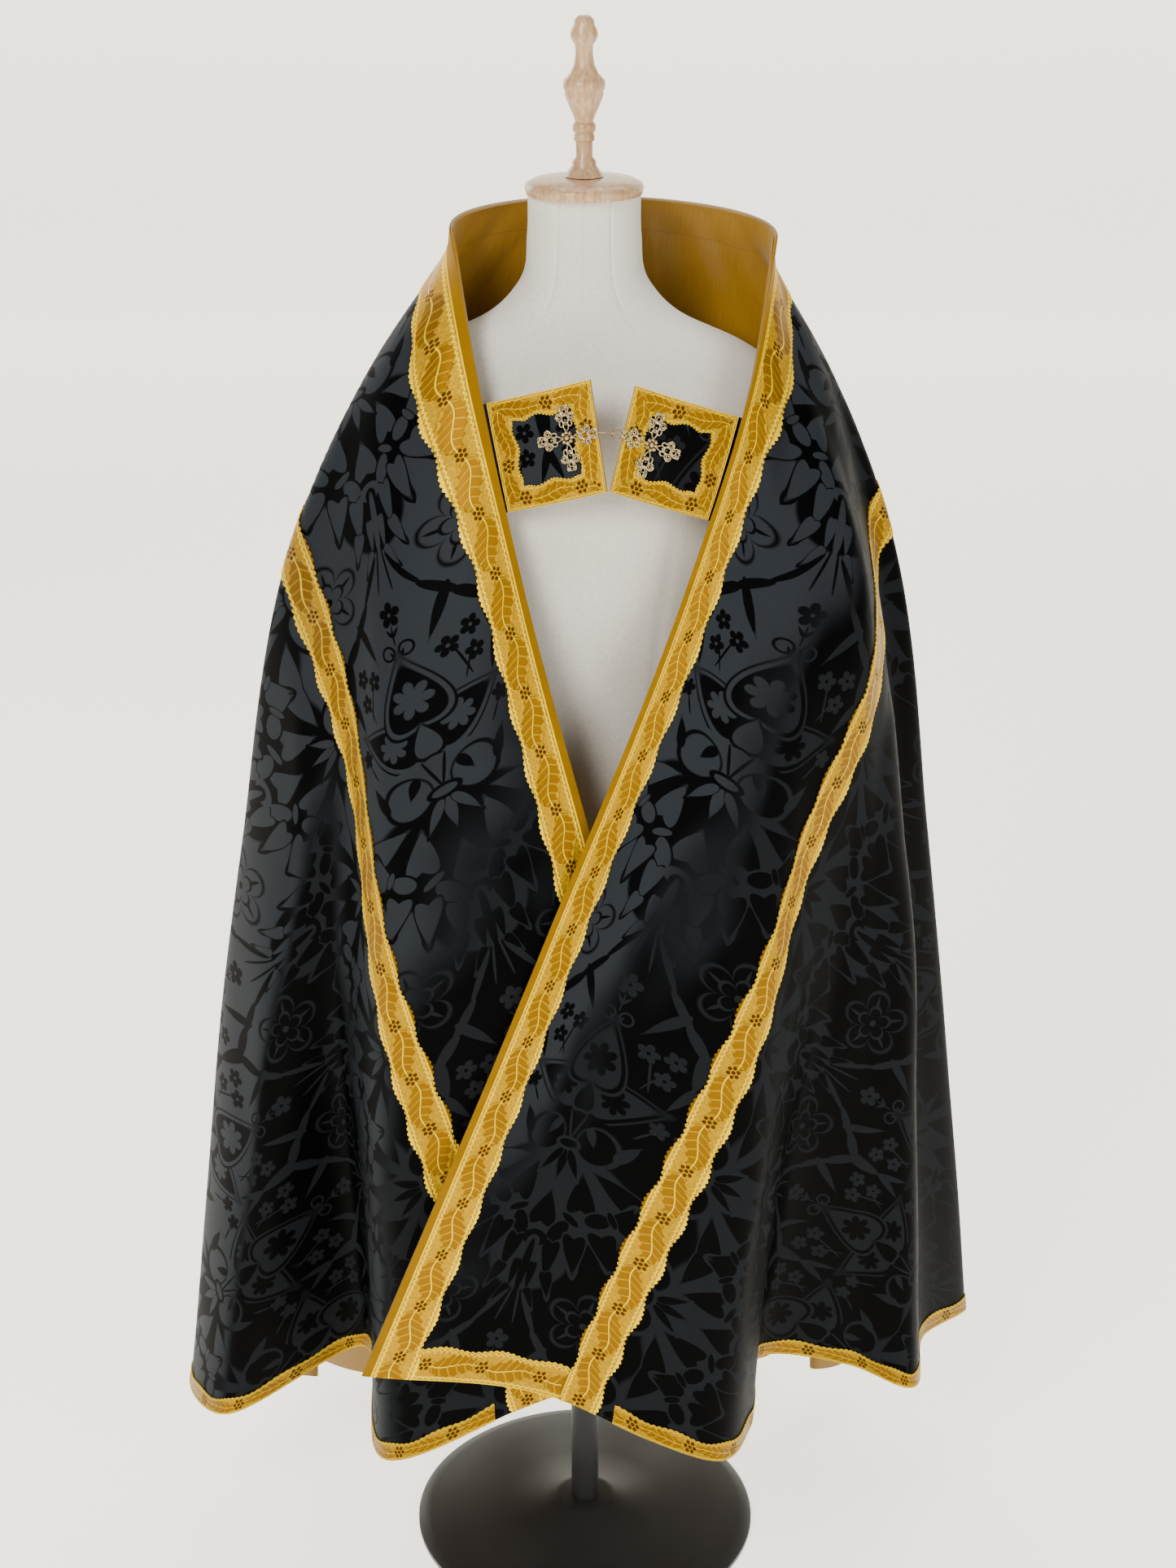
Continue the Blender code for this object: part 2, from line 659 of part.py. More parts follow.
def make_cross(name, tab, centre):
    """A flat openwork cross, seated on its tab."""
    grid, normals, carriers = tab
    x, z, turn = centre
    facing = sum((n for row in normals[1:-1] for n in row[1:-1]), Vector()).normalized()
    across = (Vector((1, 0, 0)) - facing * facing.x).normalized()
    up = facing.cross(across)
    inner = [Vector(p) for row in grid[1:-1] for p in row[1:-1]]
    middle = sum(inner, Vector()) / len(inner)
    y = middle.y - (facing.x * (x - middle.x) + facing.z * (z - middle.z)) / facing.y
    seat = Vector((x, y, z)) + facing * CROSS_RAISED
    curve = bpy.data.curves.new(name, "CURVE")
    curve.dimensions = "2D"
    curve.fill_mode = "BOTH"
    curve.extrude = CROSS_THICK / 2
    for line in [cross_outline()] + [cross_hole(arm) for arm in range(4)]:
        spline = curve.splines.new("POLY")
        spline.points.add(len(line) - 1)
        for point, spot in zip(spline.points, line):
            point.co = (spot.x, spot.y, 0, 1)
        spline.use_cyclic_u = True
    made = place(meshed(curve), name, FILIGREE)
    basis = Matrix((across, up, facing)).transposed().to_4x4()
    made.matrix_world = Matrix.Translation(seat) @ basis @ Matrix.Rotation(turn, 4, "Z")
    settle(made, -facing, carriers)
    return made


def meshed(curve):
    """A curve as a mesh object with its caps welded."""
    line = bpy.data.objects.new(curve.name + "_line", curve)
    PART.objects.link(line)
    bpy.context.view_layer.update()
    depsgraph = bpy.context.evaluated_depsgraph_get()
    mesh = bpy.data.meshes.new_from_object(line.evaluated_get(depsgraph))
    bm = bmesh.new()
    bm.from_mesh(mesh)
    bmesh.ops.remove_doubles(bm, verts=bm.verts, dist=0.00001)
    bmesh.ops.recalc_face_normals(bm, faces=bm.faces)
    bm.to_mesh(mesh)
    bm.free()
    bpy.data.objects.remove(line)
    return bpy.data.objects.new(curve.name, mesh)


def make_fastening(under, over):
    """The hook on the under cross, closed through the link on the over cross."""
    reach = CROSS_ARM[-1].radius
    start = under.matrix_world @ Vector((reach, 0, 0))
    end = over.matrix_world @ Vector((-reach, 0, 0))
    along = (end - start).normalized()
    facing = (under.matrix_world.to_3x3() + over.matrix_world.to_3x3()) @ Vector((0, 0, 1))
    facing = (facing - along * facing.dot(along)).normalized()
    up = facing.cross(along)
    frame = Matrix((along, up, facing)).transposed().to_4x4()
    frame = Matrix.Translation((start + end) / 2) @ frame
    half = (end - start).length / 2
    bpy.ops.mesh.primitive_torus_add(major_radius=LINK_RADIUS, minor_radius=WIRE_RADIUS,
                                     major_segments=16, minor_segments=6)
    link = place(bpy.context.active_object, "clasp_link", FILIGREE)
    link.matrix_world = frame @ Matrix.Translation((half - LINK_RADIUS - WIRE_RADIUS - GAP, 0, 0))
    link_x = half - LINK_RADIUS - WIRE_RADIUS - GAP
    curve = bpy.data.curves.new("clasp_hook", "CURVE")
    curve.dimensions = "3D"
    curve.bevel_depth = WIRE_RADIUS
    curve.bevel_resolution = 1
    curve.use_fill_caps = True
    route = [(-half + WIRE_RADIUS + GAP, 0), (-half + 3 * WIRE_RADIUS, -HOOK_BACK / 2),
             (link_x - LINK_RADIUS - 2 * WIRE_RADIUS, -HOOK_BACK), (link_x - WIRE_RADIUS, -HOOK_BACK),
             (link_x + 0.0006, 0.0), (link_x - WIRE_RADIUS, HOOK_FRONT),
             (link_x - LINK_RADIUS - WIRE_RADIUS, HOOK_FRONT)]
    spline = curve.splines.new("POLY")
    spline.points.add(len(route) - 1)
    for point, (x, out) in zip(spline.points, route):
        point.co = (x, 0, out, 1)
    hook = place(meshed(curve), "clasp_hook", FILIGREE)
    hook.matrix_world = frame


def turned(name, profile, finish, segments=SEGMENTS):
    """A solid turned about the form's axis, from (radius, z) pairs listed top to bottom."""
    mesh = bpy.data.meshes.new(name)
    bm = bmesh.new()
    verts = [bm.verts.new((radius, 0, z)) for radius, z in profile]
    for a, b in zip(verts, verts[1:]):
        bm.edges.new((a, b))
    bm.to_mesh(mesh)
    bm.free()
    obj = place(bpy.data.objects.new(name, mesh), name, finish)
    screw = obj.modifiers.new("turn", "SCREW")
    screw.axis = "Z"
    screw.steps = segments
    screw.render_steps = segments
    screw.use_merge_vertices = True
    screw.merge_threshold = 0.00001
    screw.use_smooth_shade = True
    return obj


TorsoRow = namedtuple("TorsoRow", "z half_width front back")
TORSO = [
    TorsoRow(TORSO_FOOT, 0.150, -0.098, 0.112), TorsoRow(0.840, 0.168, -0.108, 0.124),
    TorsoRow(0.930, 0.165, -0.106, 0.118), TorsoRow(1.030, 0.146, -0.098, 0.104),
    TorsoRow(1.130, 0.158, -0.104, 0.108), TorsoRow(1.230, 0.186, -0.106, 0.114),
    TorsoRow(1.310, 0.208, -0.090, 0.1309), TorsoRow(1.360, 0.212, -0.070, 0.118),
    TorsoRow(1.395, 0.200, -0.054, 0.104), TorsoRow(1.425, 0.160, -0.046, 0.088),
    TorsoRow(1.452, 0.102, -0.044, 0.076), TorsoRow(1.485, 0.068, -0.044, 0.068),
    TorsoRow(1.535, 0.058, -0.044, 0.062), TorsoRow(NECK_TOP, 0.057, -0.046, 0.060),
]


def make_torso():
    """The padded torso and neck: oval rings, closed flat at the foot and the neck."""
    mesh = bpy.data.meshes.new("form_torso")
    bm = bmesh.new()
    rings = []
    for row in TORSO:
        middle = (row.front + row.back) / 2
        depth = (row.back - row.front) / 2
        ring = []
        for i in range(SEGMENTS):
            angle = 2 * math.pi * i / SEGMENTS
            spot = (row.half_width * math.cos(angle), middle + depth * math.sin(angle), row.z)
            ring.append(bm.verts.new(spot))
        rings.append(ring)
    for low, high in zip(rings, rings[1:]):
        for i in range(SEGMENTS):
            k = (i + 1) % SEGMENTS
            bm.faces.new((low[i], low[k], high[k], high[i]))
    bm.faces.new(rings[0][::-1])
    bm.faces.new(rings[-1])
    bmesh.ops.recalc_face_normals(bm, faces=bm.faces)
    bm.to_mesh(mesh)
    bm.free()
    mesh.shade_smooth()
    mesh.set_sharp_from_angle(angle=SHARP)
    return place(bpy.data.objects.new("form_torso", mesh), "form_torso", COVER)


NECK_CAP = [
    (0.0, 1.592), (0.040, 1.591), (0.055, 1.587), (0.059, 1.582), (0.057, NECK_TOP + GAP),
    (0.0, NECK_TOP + GAP),
]
FINIAL = [
    (0.0, 1.745), (0.0060, 1.7442), (0.0097, 1.7400), (0.0100, 1.7360), (0.0128, 1.7310),
    (0.0137, 1.7262), (0.0120, 1.7215), (0.0088, 1.7170), (0.0086, 1.7080), (0.0100, 1.6990),
    (0.0140, 1.6905), (0.0204, 1.6840), (0.0207, 1.6770), (0.0190, 1.6745), (0.0190, 1.6700),
    (0.0150, 1.6600), (0.0105, 1.6500), (0.0090, 1.6448), (0.0114, 1.6420), (0.0114, 1.6362),
    (0.0090, 1.6340), (0.0102, 1.6318), (0.0102, 1.6272), (0.0083, 1.6255), (0.0083, 1.6110),
    (0.0118, 1.6070), (0.0118, 1.6030), (0.0150, 1.5990), (0.0190, 1.5926), (0.0, 1.5926),
]
BASE = [
    (0.0, BASE_HEIGHT), (0.030, BASE_HEIGHT), (0.050, 0.022), (0.150, 0.014), (0.192, 0.011),
    (BASE_RADIUS, 0.006), (BASE_RADIUS, 0.0), (0.0, 0.0),
]


def make_stand():
    """The neck cap, the finial, the pole and the round foot."""
    turned("form_neck_cap", NECK_CAP, BEECH)
    turned("form_finial", FINIAL, BEECH, FINIAL_SEGMENTS)
    turned("form_foot", BASE, IRON)
    height = TORSO_FOOT - BASE_HEIGHT - 2 * GAP
    middle = BASE_HEIGHT + GAP + height / 2
    bpy.ops.mesh.primitive_cylinder_add(vertices=24, radius=POLE_RADIUS, depth=height,
                                        location=(0, 0, middle))
    pole = place(bpy.context.active_object, "form_pole", IRON)
    pole.data.shade_smooth()
    pole.data.set_sharp_from_angle(angle=SHARP)


def main():
    make_body()
    make_bands()
    make_lining()
    under = make_tab(UNDER_TAB)
    over = make_tab(OVER_TAB)
    crosses = [make_cross("filigree_cross_under", under, UNDER_CROSS),
               make_cross("filigree_cross_over", over, OVER_CROSS)]
    make_fastening(*crosses)
    make_torso()
    make_stand()


for old in list(bpy.data.objects):
    bpy.data.objects.remove(old)
PART = new_collection("cope vestment on a dress form")
main()
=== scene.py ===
"""The looks of a black and gold cope on a limbless dress form.

The cloth is laid out on the cope's flat cut, a half circle, and then draped. "share" runs
round the hem from the under front edge (0) by way of the centre back (0.5) to the over front
edge (1). "fall" runs from the collar rim (0) to the hem (1). Metres, the front looks to -Y.
"""

import math
from collections import namedtuple

import bmesh
import bpy
import numpy as np
from mathutils import Matrix, Vector


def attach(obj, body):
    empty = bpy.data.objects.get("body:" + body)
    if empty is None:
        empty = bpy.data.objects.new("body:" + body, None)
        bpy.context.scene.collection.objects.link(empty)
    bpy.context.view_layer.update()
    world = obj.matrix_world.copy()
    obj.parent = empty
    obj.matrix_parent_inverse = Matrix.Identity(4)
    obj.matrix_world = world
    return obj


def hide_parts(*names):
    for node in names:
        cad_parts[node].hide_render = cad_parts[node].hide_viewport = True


# The flat cut, as in the CAD part
RADIUS = 1.50
NECK_EDGE = 0.44
BAND_WIDTH = 0.238
EDGE_GALLOON = 0.055
OUTER_GALLOON_IN = 0.019
OUTER_GALLOON_OUT = 0.018
HEM_GALLOON = 0.020
FOOT_GALLOON = 0.040
SIDE_SEAMS = (0.34, 0.66)
CLOTH = (-0.001, 0.001)
BRAID = (0.0013, 0.0024)
LINING = (-0.0023, -0.0014)
SEAM_GAP = 0.0001

# The drape's sections between rim and hem
SHOULDER_Z = 1.40
CHEST_Z = 1.22
WAIST_Z = 0.88
RIM_CENTRE_X = 0.029
RIM_HALF_WIDTH = 0.161
RIM_DEPTH = 0.097
RIM_Z = 1.541
RIM_LIFT = 0.016
RIM_TILT = 0.004

Fold = namedtuple("Fold", "name share shoulder chest waist hem")
UNDER_FRONT = [
    ("edge", 0.000, (-0.102, -0.080), (-0.061, -0.140), (0.030, -0.205), (0.135, -0.235, 0.390)),
    ("band end", 0.0486, (-0.1375, -0.070), (-0.1155, -0.150), (-0.087, -0.222),
     (-0.051, -0.233, 0.325)),
    ("crest", 0.085, (-0.166, -0.052), (-0.1775, -0.132), (-0.193, -0.205),
     (-0.212, -0.234, 0.250)),
    ("valley", 0.132, (-0.189, -0.035), (-0.224, -0.089), (-0.254, -0.118),
     (-0.262, -0.015, 0.250)),
    ("lobe", 0.167, (-0.206, -0.013), (-0.262, -0.045), (-0.318, -0.098), (-0.412, -0.086, 0.205)),
    ("side", 0.196, (-0.216, 0.010), (-0.302, 0.006), (-0.371, 0.000), (-0.466, 0.017, 0.185)),
    ("side back", 0.2145, (-0.2135, 0.020), (-0.289, 0.021), (-0.352, 0.021),
     (-0.430, 0.052, 0.184)),
]
OVER_FRONT = [
    ("side back", 0.758, (0.231, 0.054), (0.296, 0.084), (0.352, 0.112), (0.402, 0.166, 0.187)),
    ("side", 0.775, (0.246, 0.035), (0.322, 0.055), (0.378, 0.070), (0.468, 0.155, 0.190)),
    ("deep fold", 0.797, (0.243, 0.016), (0.301, 0.029), (0.335, 0.018), (0.408, 0.072, 0.205)),
    ("crest", 0.826, (0.235, -0.008), (0.2905, -0.036), (0.337, -0.078), (0.376, -0.057, 0.220)),
    ("soft valley", 0.846, (0.225, -0.022), (0.2855, -0.068), (0.297, -0.114),
     (0.306, -0.036, 0.238)),
    ("valley", 0.867, (0.216, -0.036), (0.278, -0.096), (0.261, -0.138), (0.205, -0.055, 0.264)),
    ("fold edge", 0.896, (0.2075, -0.046), (0.2405, -0.122), (0.2135, -0.192),
     (0.178, -0.208, 0.275)),
    ("crest", 0.914, (0.199, -0.055), (0.208, -0.138), (0.186, -0.222), (0.146, -0.275, 0.281)),
    ("panel", 0.933, (0.188, -0.068), (0.1665, -0.150), (0.129, -0.240), (0.068, -0.293, 0.320)),
    ("band end", 0.9514, (0.178, -0.074), (0.1435, -0.151), (0.064, -0.244),
     (-0.018, -0.290, 0.365)),
    ("edge", 1.000, (0.162, -0.080), (0.102, -0.145), (-0.0355, -0.225), (-0.234, -0.286, 0.395)),
]
ROUND_BEARING = 3.4
ROUND_SHARE = 0.0062
ROUND_DROP = 0.016
VALLEY_TIGHTER = 0.35
SPREAD_SHARES = (0.196, 0.5, 0.775)
SPREAD_BEARINGS = (0, 90, 157)
BackFold = namedtuple("BackFold", "share bearing inset")
BACK = [
    (0.237, 12, 0.140), (0.279, 26, 0.000), (0.320, 36, 0.165),
    (0.361, 50, 0.008), (0.403, 61, 0.150), (0.444, 74, 0.000),
    (0.486, 86, 0.170), (0.527, 97, 0.010), (0.568, 106, 0.145),
    (0.610, 117, 0.000), (0.651, 126, 0.165), (0.693, 137, 0.006),
    (0.734, 147, 0.135),
]
Ring = namedtuple("Ring", "x y half_width depth fold")
SHOULDER_RING = Ring(0.015, 0.010, 0.232, 0.122, 0.05)
CHEST_RING = Ring(0.015, 0.010, 0.306, 0.160, 0.17)
WAIST_RING = Ring(0.004, 0.010, 0.375, 0.232, 0.50)
HEM_RING = Ring(0.000, 0.020, 0.470, 0.335, 1.00)
HEM_SIDE_Z = 0.185
HEM_BACK_Z = 0.100

# Creases on the flat cut: a line from (x, y) to (x, y), the half width of its slope and how
# far it stands proud (or, below zero, sinks). They fade towards their ends.
Crease = namedtuple("Crease", "x0 y0 x1 y1 width height")
CREASES = [
    (-1.10, 0.10, -0.62, 0.12, 0.030, 0.0030), (-1.30, 0.17, -0.85, 0.08, 0.022, -0.0022),
    (-0.95, 0.20, -0.50, 0.15, 0.018, 0.0020), (-1.22, 0.42, -0.78, 0.34, 0.024, 0.0038),
    (-1.05, 0.55, -0.70, 0.36, 0.018, -0.0030), (-1.30, 0.52, -0.98, 0.38, 0.020, 0.0034),
    (-1.18, 0.66, -0.80, 0.47, 0.026, -0.0036), (-0.98, 0.74, -0.66, 0.50, 0.022, 0.0036),
    (-1.38, 0.36, -1.12, 0.31, 0.016, -0.0026), (-0.70, 0.33, -0.52, 0.27, 0.016, 0.0022),
    (1.15, 0.10, 0.70, 0.13, 0.030, 0.0028), (1.33, 0.16, 0.95, 0.09, 0.022, -0.0020),
    (0.98, 0.19, 0.52, 0.14, 0.018, 0.0018), (1.27, 0.34, 0.86, 0.30, 0.022, 0.0036),
    (1.18, 0.47, 0.80, 0.36, 0.020, -0.0032), (1.05, 0.58, 0.68, 0.40, 0.024, 0.0036),
    (1.22, 0.62, 0.92, 0.48, 0.018, 0.0028), (0.92, 0.80, 0.62, 0.53, 0.024, -0.0034),
    (1.36, 0.28, 1.10, 0.26, 0.014, 0.0024), (0.66, 0.31, 0.48, 0.27, 0.016, -0.0020),
    (-0.62, 1.10, -0.40, 0.62, 0.026, 0.0034), (-0.34, 1.28, -0.24, 0.74, 0.022, -0.0032),
    (-0.10, 1.30, -0.08, 0.70, 0.024, 0.0030), (0.16, 1.26, 0.10, 0.80, 0.020, -0.0030),
    (0.40, 1.20, 0.26, 0.66, 0.026, 0.0034), (0.64, 1.06, 0.42, 0.60, 0.022, -0.0030),
    (-0.80, 0.90, -0.58, 0.58, 0.022, -0.0028), (0.80, 0.92, 0.56, 0.60, 0.022, 0.0030),
    (-0.45, 0.44, -0.20, 0.36, 0.020, 0.0020), (0.44, 0.45, 0.18, 0.37, 0.020, 0.0018),
]
CREASE_FADE = 0.7
CREASE_FREE_EDGE = 0.02
CREASE_FREE_NECK = (0.20, 0.50)
SIDE_SEAM_DIP = 0.0008
SIDE_SEAM_WIDTH = 0.003
# Slow waves all over the cut: a share of UNEVEN and the turns of its two sines
UNEVEN = 0.0011
WAVES = [(1.0, (9.1, 2.3, 0.0), (-1.7, 7.3, 0.6)), (0.6, (17.0, -6.0, 1.9), (4.0, 11.0, 0.0))]

SHARE_LINES = 1601
FALL_LINES = 321
COLUMN_STEPS = 40
HALVINGS = 40
FLAT_EDGE = 0.0001
SHARP = math.radians(60)


def spline(knots, values, at):
    """Smooth curves through values at knots, one curve a row, each read at several places."""
    gaps = np.diff(knots, axis=1)
    rises = np.diff(values, axis=1) / gaps[..., None]
    before, after = gaps[:, :-1, None], gaps[:, 1:, None]
    inner = (rises[:, :-1] * after + rises[:, 1:] * before) / (before + after)
    slopes = np.concatenate((rises[:, :1], inner, rises[:, -1:]), axis=1)
    rows = np.arange(len(knots))[:, None]
    place = np.zeros(at.shape, dtype=int)
    for k in range(1, knots.shape[1] - 1):
        place += at >= knots[:, k:k + 1]
    width = gaps[rows, place][..., None]
    t = (at - knots[rows, place])[..., None] / width
    return ((2 * t**3 - 3 * t**2 + 1) * values[rows, place]
            + (t**3 - 2 * t**2 + t) * width * slopes[rows, place]
            + (3 * t**2 - 2 * t**3) * values[rows, place + 1]
            + (t**3 - t**2) * width * slopes[rows, place + 1])


def ring_point(ring, share, bearing, inset):
    """A spot on a ring round the form, with its folds drawn as far as the ring shows them."""
    even = float(np.interp(share, SPREAD_SHARES, SPREAD_BEARINGS))
    angle = math.radians(even + (bearing - even) * ring.fold)
    depth = inset * ring.fold
    return (ring.x - (ring.half_width - depth) * math.cos(angle),
            ring.y + (ring.depth - depth) * math.sin(angle))


def back_lines(row):
    """The three lines that round one fold of the back."""
    deepest = max(inset for _, _, inset in BACK)
    tighter = 1 - VALLEY_TIGHTER * row.inset / deepest
    drop = -ROUND_DROP if row.inset > deepest / 2 else ROUND_DROP
    lines = []
    for side in (-1, 0, 1):
        bearing = row.bearing + side * ROUND_BEARING
        share = row.share + side * ROUND_SHARE * tighter
        inset = row.inset + drop * abs(side)
        hem_x, hem_y = ring_point(HEM_RING, share, bearing, inset)
        rise = HEM_SIDE_Z - HEM_BACK_Z
        hem_z = HEM_BACK_Z + rise * (1 - math.sin(math.radians(bearing)))**2
        upper = [ring_point(ring, share, bearing, inset)
                 for ring in (SHOULDER_RING, CHEST_RING, WAIST_RING)]
        lines.append(Fold("back", share, *upper, (hem_x, hem_y, hem_z)))
    return lines


def rim_line(share):
    """The collar's rim."""
    angle = math.pi * share
    return np.stack((RIM_CENTRE_X - RIM_HALF_WIDTH * np.cos(angle), RIM_DEPTH * np.sin(angle),
                     RIM_Z + RIM_LIFT * np.sin(angle) + RIM_TILT * np.cos(angle)), axis=-1)


def on_flat(share, fall):
    """The flat cut's (x, y) of a share and fall."""
    angle = np.pi * share
    x = NECK_EDGE * (share - 0.5) * (1 - fall) - fall * RADIUS * np.cos(angle)
    return x, fall * RADIUS * np.sin(angle)


def on_cloth(x, y):
    """The share and fall of points of the flat cut."""
    x, y = np.broadcast_arrays(x, np.maximum(y, FLAT_EDGE))
    low = np.arcsin(np.minimum(y / RADIUS, 1)) / np.pi
    high = 1 - low
    for _ in range(HALVINGS):
        share = (low + high) / 2
        fall = y / (RADIUS * np.sin(np.pi * share))
        beyond = on_flat(share, fall)[0] < x
        low = np.where(beyond, share, low)
        high = np.where(beyond, high, share)
    return share, np.minimum(y / (RADIUS * np.sin(np.pi * share)), 1)


def crease_height(x, y):
    """How far the cloth stands off its smooth drape, over the flat cut."""
    total = UNEVEN * sum(size * np.sin(a * x + b * y + c) * np.sin(d * x + e * y + f)
                         for size, (a, b, c), (d, e, f) in WAVES)
    for crease in map(Crease._make, CREASES):
        along = np.array((crease.x1 - crease.x0, crease.y1 - crease.y0))
        length = float(np.linalg.norm(along))
        ahead = ((x - crease.x0) * along[0] + (y - crease.y0) * along[1]) / length**2
        kept = np.clip(ahead, 0, 1)
        away = np.hypot(x - crease.x0 - kept * along[0], y - crease.y0 - kept * along[1])
        fade = np.sin(np.pi * np.clip(ahead, 0.02, 0.98))**CREASE_FADE
        total += crease.height * fade * np.exp(-(away / crease.width)**2)
    start, full = CREASE_FREE_NECK
    from_neck = np.clip((np.hypot(x, y) - start) / (full - start), 0, 1)
    from_edge = np.clip(y / CREASE_FREE_EDGE, 0.25, 1)
    return total * from_neck * from_edge


def drape():
    """The draped cloth as tables of places and outward directions over share and fall."""
    share = np.linspace(0, 1, SHARE_LINES)
    fall = np.linspace(0, 1, FALL_LINES)
    backs = [line for row in BACK for line in back_lines(BackFold(*row))]
    folds = [*map(Fold._make, UNDER_FRONT), *backs, *map(Fold._make, OVER_FRONT)]
    shares = np.array([[fold.share for fold in folds]])
    sections = [[(*fold.shoulder, SHOULDER_Z) for fold in folds],
                [(*fold.chest, CHEST_Z) for fold in folds],
                [(*fold.waist, WAIST_Z) for fold in folds], [fold.hem for fold in folds]]
    lines = [spline(shares, np.array([section]), share[None])[0] for section in sections]
    corners = np.stack([rim_line(share)] + lines, axis=1)
    start = np.zeros((SHARE_LINES, 1))
    knots = np.hstack((start, np.cumsum(np.linalg.norm(np.diff(corners, axis=1), axis=2), axis=1)))
    fine = spline(knots, corners, knots[:, -1:] * np.linspace(0, 1, COLUMN_STEPS + 1))
    walked = np.hstack((start, np.cumsum(np.linalg.norm(np.diff(fine, axis=1), axis=2), axis=1)))
    places = spline(walked, fine, walked[:, -1:] * fall)
    flat_x, flat_y = on_flat(share[:, None], fall[None])
    height = crease_height(flat_x, flat_y)
    for seam in SIDE_SEAMS:
        off_seam = (share[:, None] - seam) * math.pi * RADIUS * fall[None]
        height = height - SIDE_SEAM_DIP * np.exp(-(off_seam / SIDE_SEAM_WIDTH)**2)
    places = places + facing(places) * height[..., None]
    return places, facing(places)


def unit(vectors):
    return vectors / np.linalg.norm(vectors, axis=-1, keepdims=True)


def facing(places):
    """The outward directions of a table of places."""
    return unit(np.cross(np.gradient(places, axis=0), np.gradient(places, axis=1)))


def read_table(table, share, fall):
    """A table's values between its lines."""
    row = np.clip(share, 0, 1) * (SHARE_LINES - 1)
    col = np.clip(fall, 0, 1) * (FALL_LINES - 1)
    i = np.minimum(row.astype(int), SHARE_LINES - 2)
    j = np.minimum(col.astype(int), FALL_LINES - 2)
    a, b = (row - i)[..., None], (col - j)[..., None]
    return ((table[i, j] * (1 - a) + table[i + 1, j] * a) * (1 - b)
            + (table[i, j + 1] * (1 - a) + table[i + 1, j + 1] * a) * b)


def on_drape(share, fall):
    """The places and outward directions of shares and falls."""
    normals = read_table(NORMALS, share, fall)
    return read_table(PLACES, share, fall), unit(normals)


def shell(name, points, normals, wall, uv, finishes):
    """A thin wall over a grid: its outer face shows the first finish, the rest the last."""
    rows, cols = points.shape[:2]
    verts = np.concatenate([(points + normals * distance).reshape(-1, 3)
                            for distance in (wall[1], wall[0])])
    count = rows * cols
    index = np.arange(count).reshape(rows, cols)
    quads = np.stack([part.reshape(-1) for part in (index[:-1, :-1], index[1:, :-1],
                                                    index[1:, 1:], index[:-1, 1:])], axis=1)
    ring = np.concatenate((index[0, :-1], index[:-1, -1], index[-1, :0:-1], index[:0:-1, 0]))
    ahead = np.roll(ring, -1)
    edge = np.stack((ring, ahead, ahead + count, ring + count), axis=1)
    start, one, _, other = quads[(rows - 1) // 2 * (cols - 1) + (cols - 1) // 2]
    side = np.cross(verts[one] - verts[start], verts[other] - verts[start])
    if np.dot(side, normals.reshape(-1, 3)[start]) < 0:
        quads, edge = quads[:, ::-1], edge[:, ::-1]
    faces = np.concatenate((quads, quads[:, ::-1] + count, edge))
    mesh = bpy.data.meshes.new(name)
    mesh.from_pydata(verts.tolist(), [], faces.tolist())
    mesh.update()
    layer = mesh.uv_layers.new(name="cut")
    flat = np.concatenate((uv.reshape(-1, 2), uv.reshape(-1, 2)))
    layer.data.foreach_set("uv", flat[faces.reshape(-1)].reshape(-1))
    inner = np.zeros(len(faces), dtype=np.int32)
    inner[len(quads):] = len(finishes) - 1
    for finish in finishes:
        mesh.materials.append(finish)
    mesh.polygons.foreach_set("material_index", inner)
    mesh.shade_smooth()
    mesh.set_sharp_from_angle(angle=SHARP)
    return show(bpy.data.objects.new(name, mesh))


def show(obj):
    bpy.context.scene.collection.objects.link(obj)
    return obj


def from_bmesh(name, bm, material, sharp=None):
    """A smooth mesh object. Edges above the sharp angle stay sharp."""
    mesh = bpy.data.meshes.new(name)
    bm.to_mesh(mesh)
    bm.free()
    mesh.shade_smooth()
    if sharp:
        mesh.set_sharp_from_angle(angle=math.radians(sharp))
    mesh.materials.append(material)
    return show(bpy.data.objects.new(name, mesh))


def carried(obj, slot, *nodes):
    """The piece rides on the part's one body and stands for its CAD nodes."""
    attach(obj, "root")
    if nodes:
        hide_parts(*nodes)
    return obj


def cut_size(x, y):
    """The flat size and area of a piece whose grid lies at (x, y) of the flat cut."""
    spots = np.stack((x, y), axis=-1)
    one, two = spots[1:, 1:] - spots[:-1, :-1], spots[1:, :-1] - spots[:-1, 1:]
    area = float(np.abs(one[..., 0] * two[..., 1] - one[..., 1] * two[..., 0]).sum() / 2)
    return (float(np.ptp(x)), float(np.ptp(y))), area


def cloth(name, share, fall, wall, uv, finishes, slot, node, strip=None):
    """A wall over spots of the draped cloth. Strip is a ribbon's length and width."""
    points, normals = on_drape(share, fall)
    made = carried(shell(name, points, normals, wall, uv, finishes), slot, node)
    flat, area = (strip, None) if strip else cut_size(*on_flat(share, fall))


def paired(u, v):
    """A map's two values at each spot of a grid."""
    return np.stack(np.broadcast_arrays(u, v), axis=-1)


def smooth_step(low, high, value):
    t = np.clip((value - low) / (high - low), 0, 1)
    return t * t * (3 - 2 * t)


# ---- node building ----

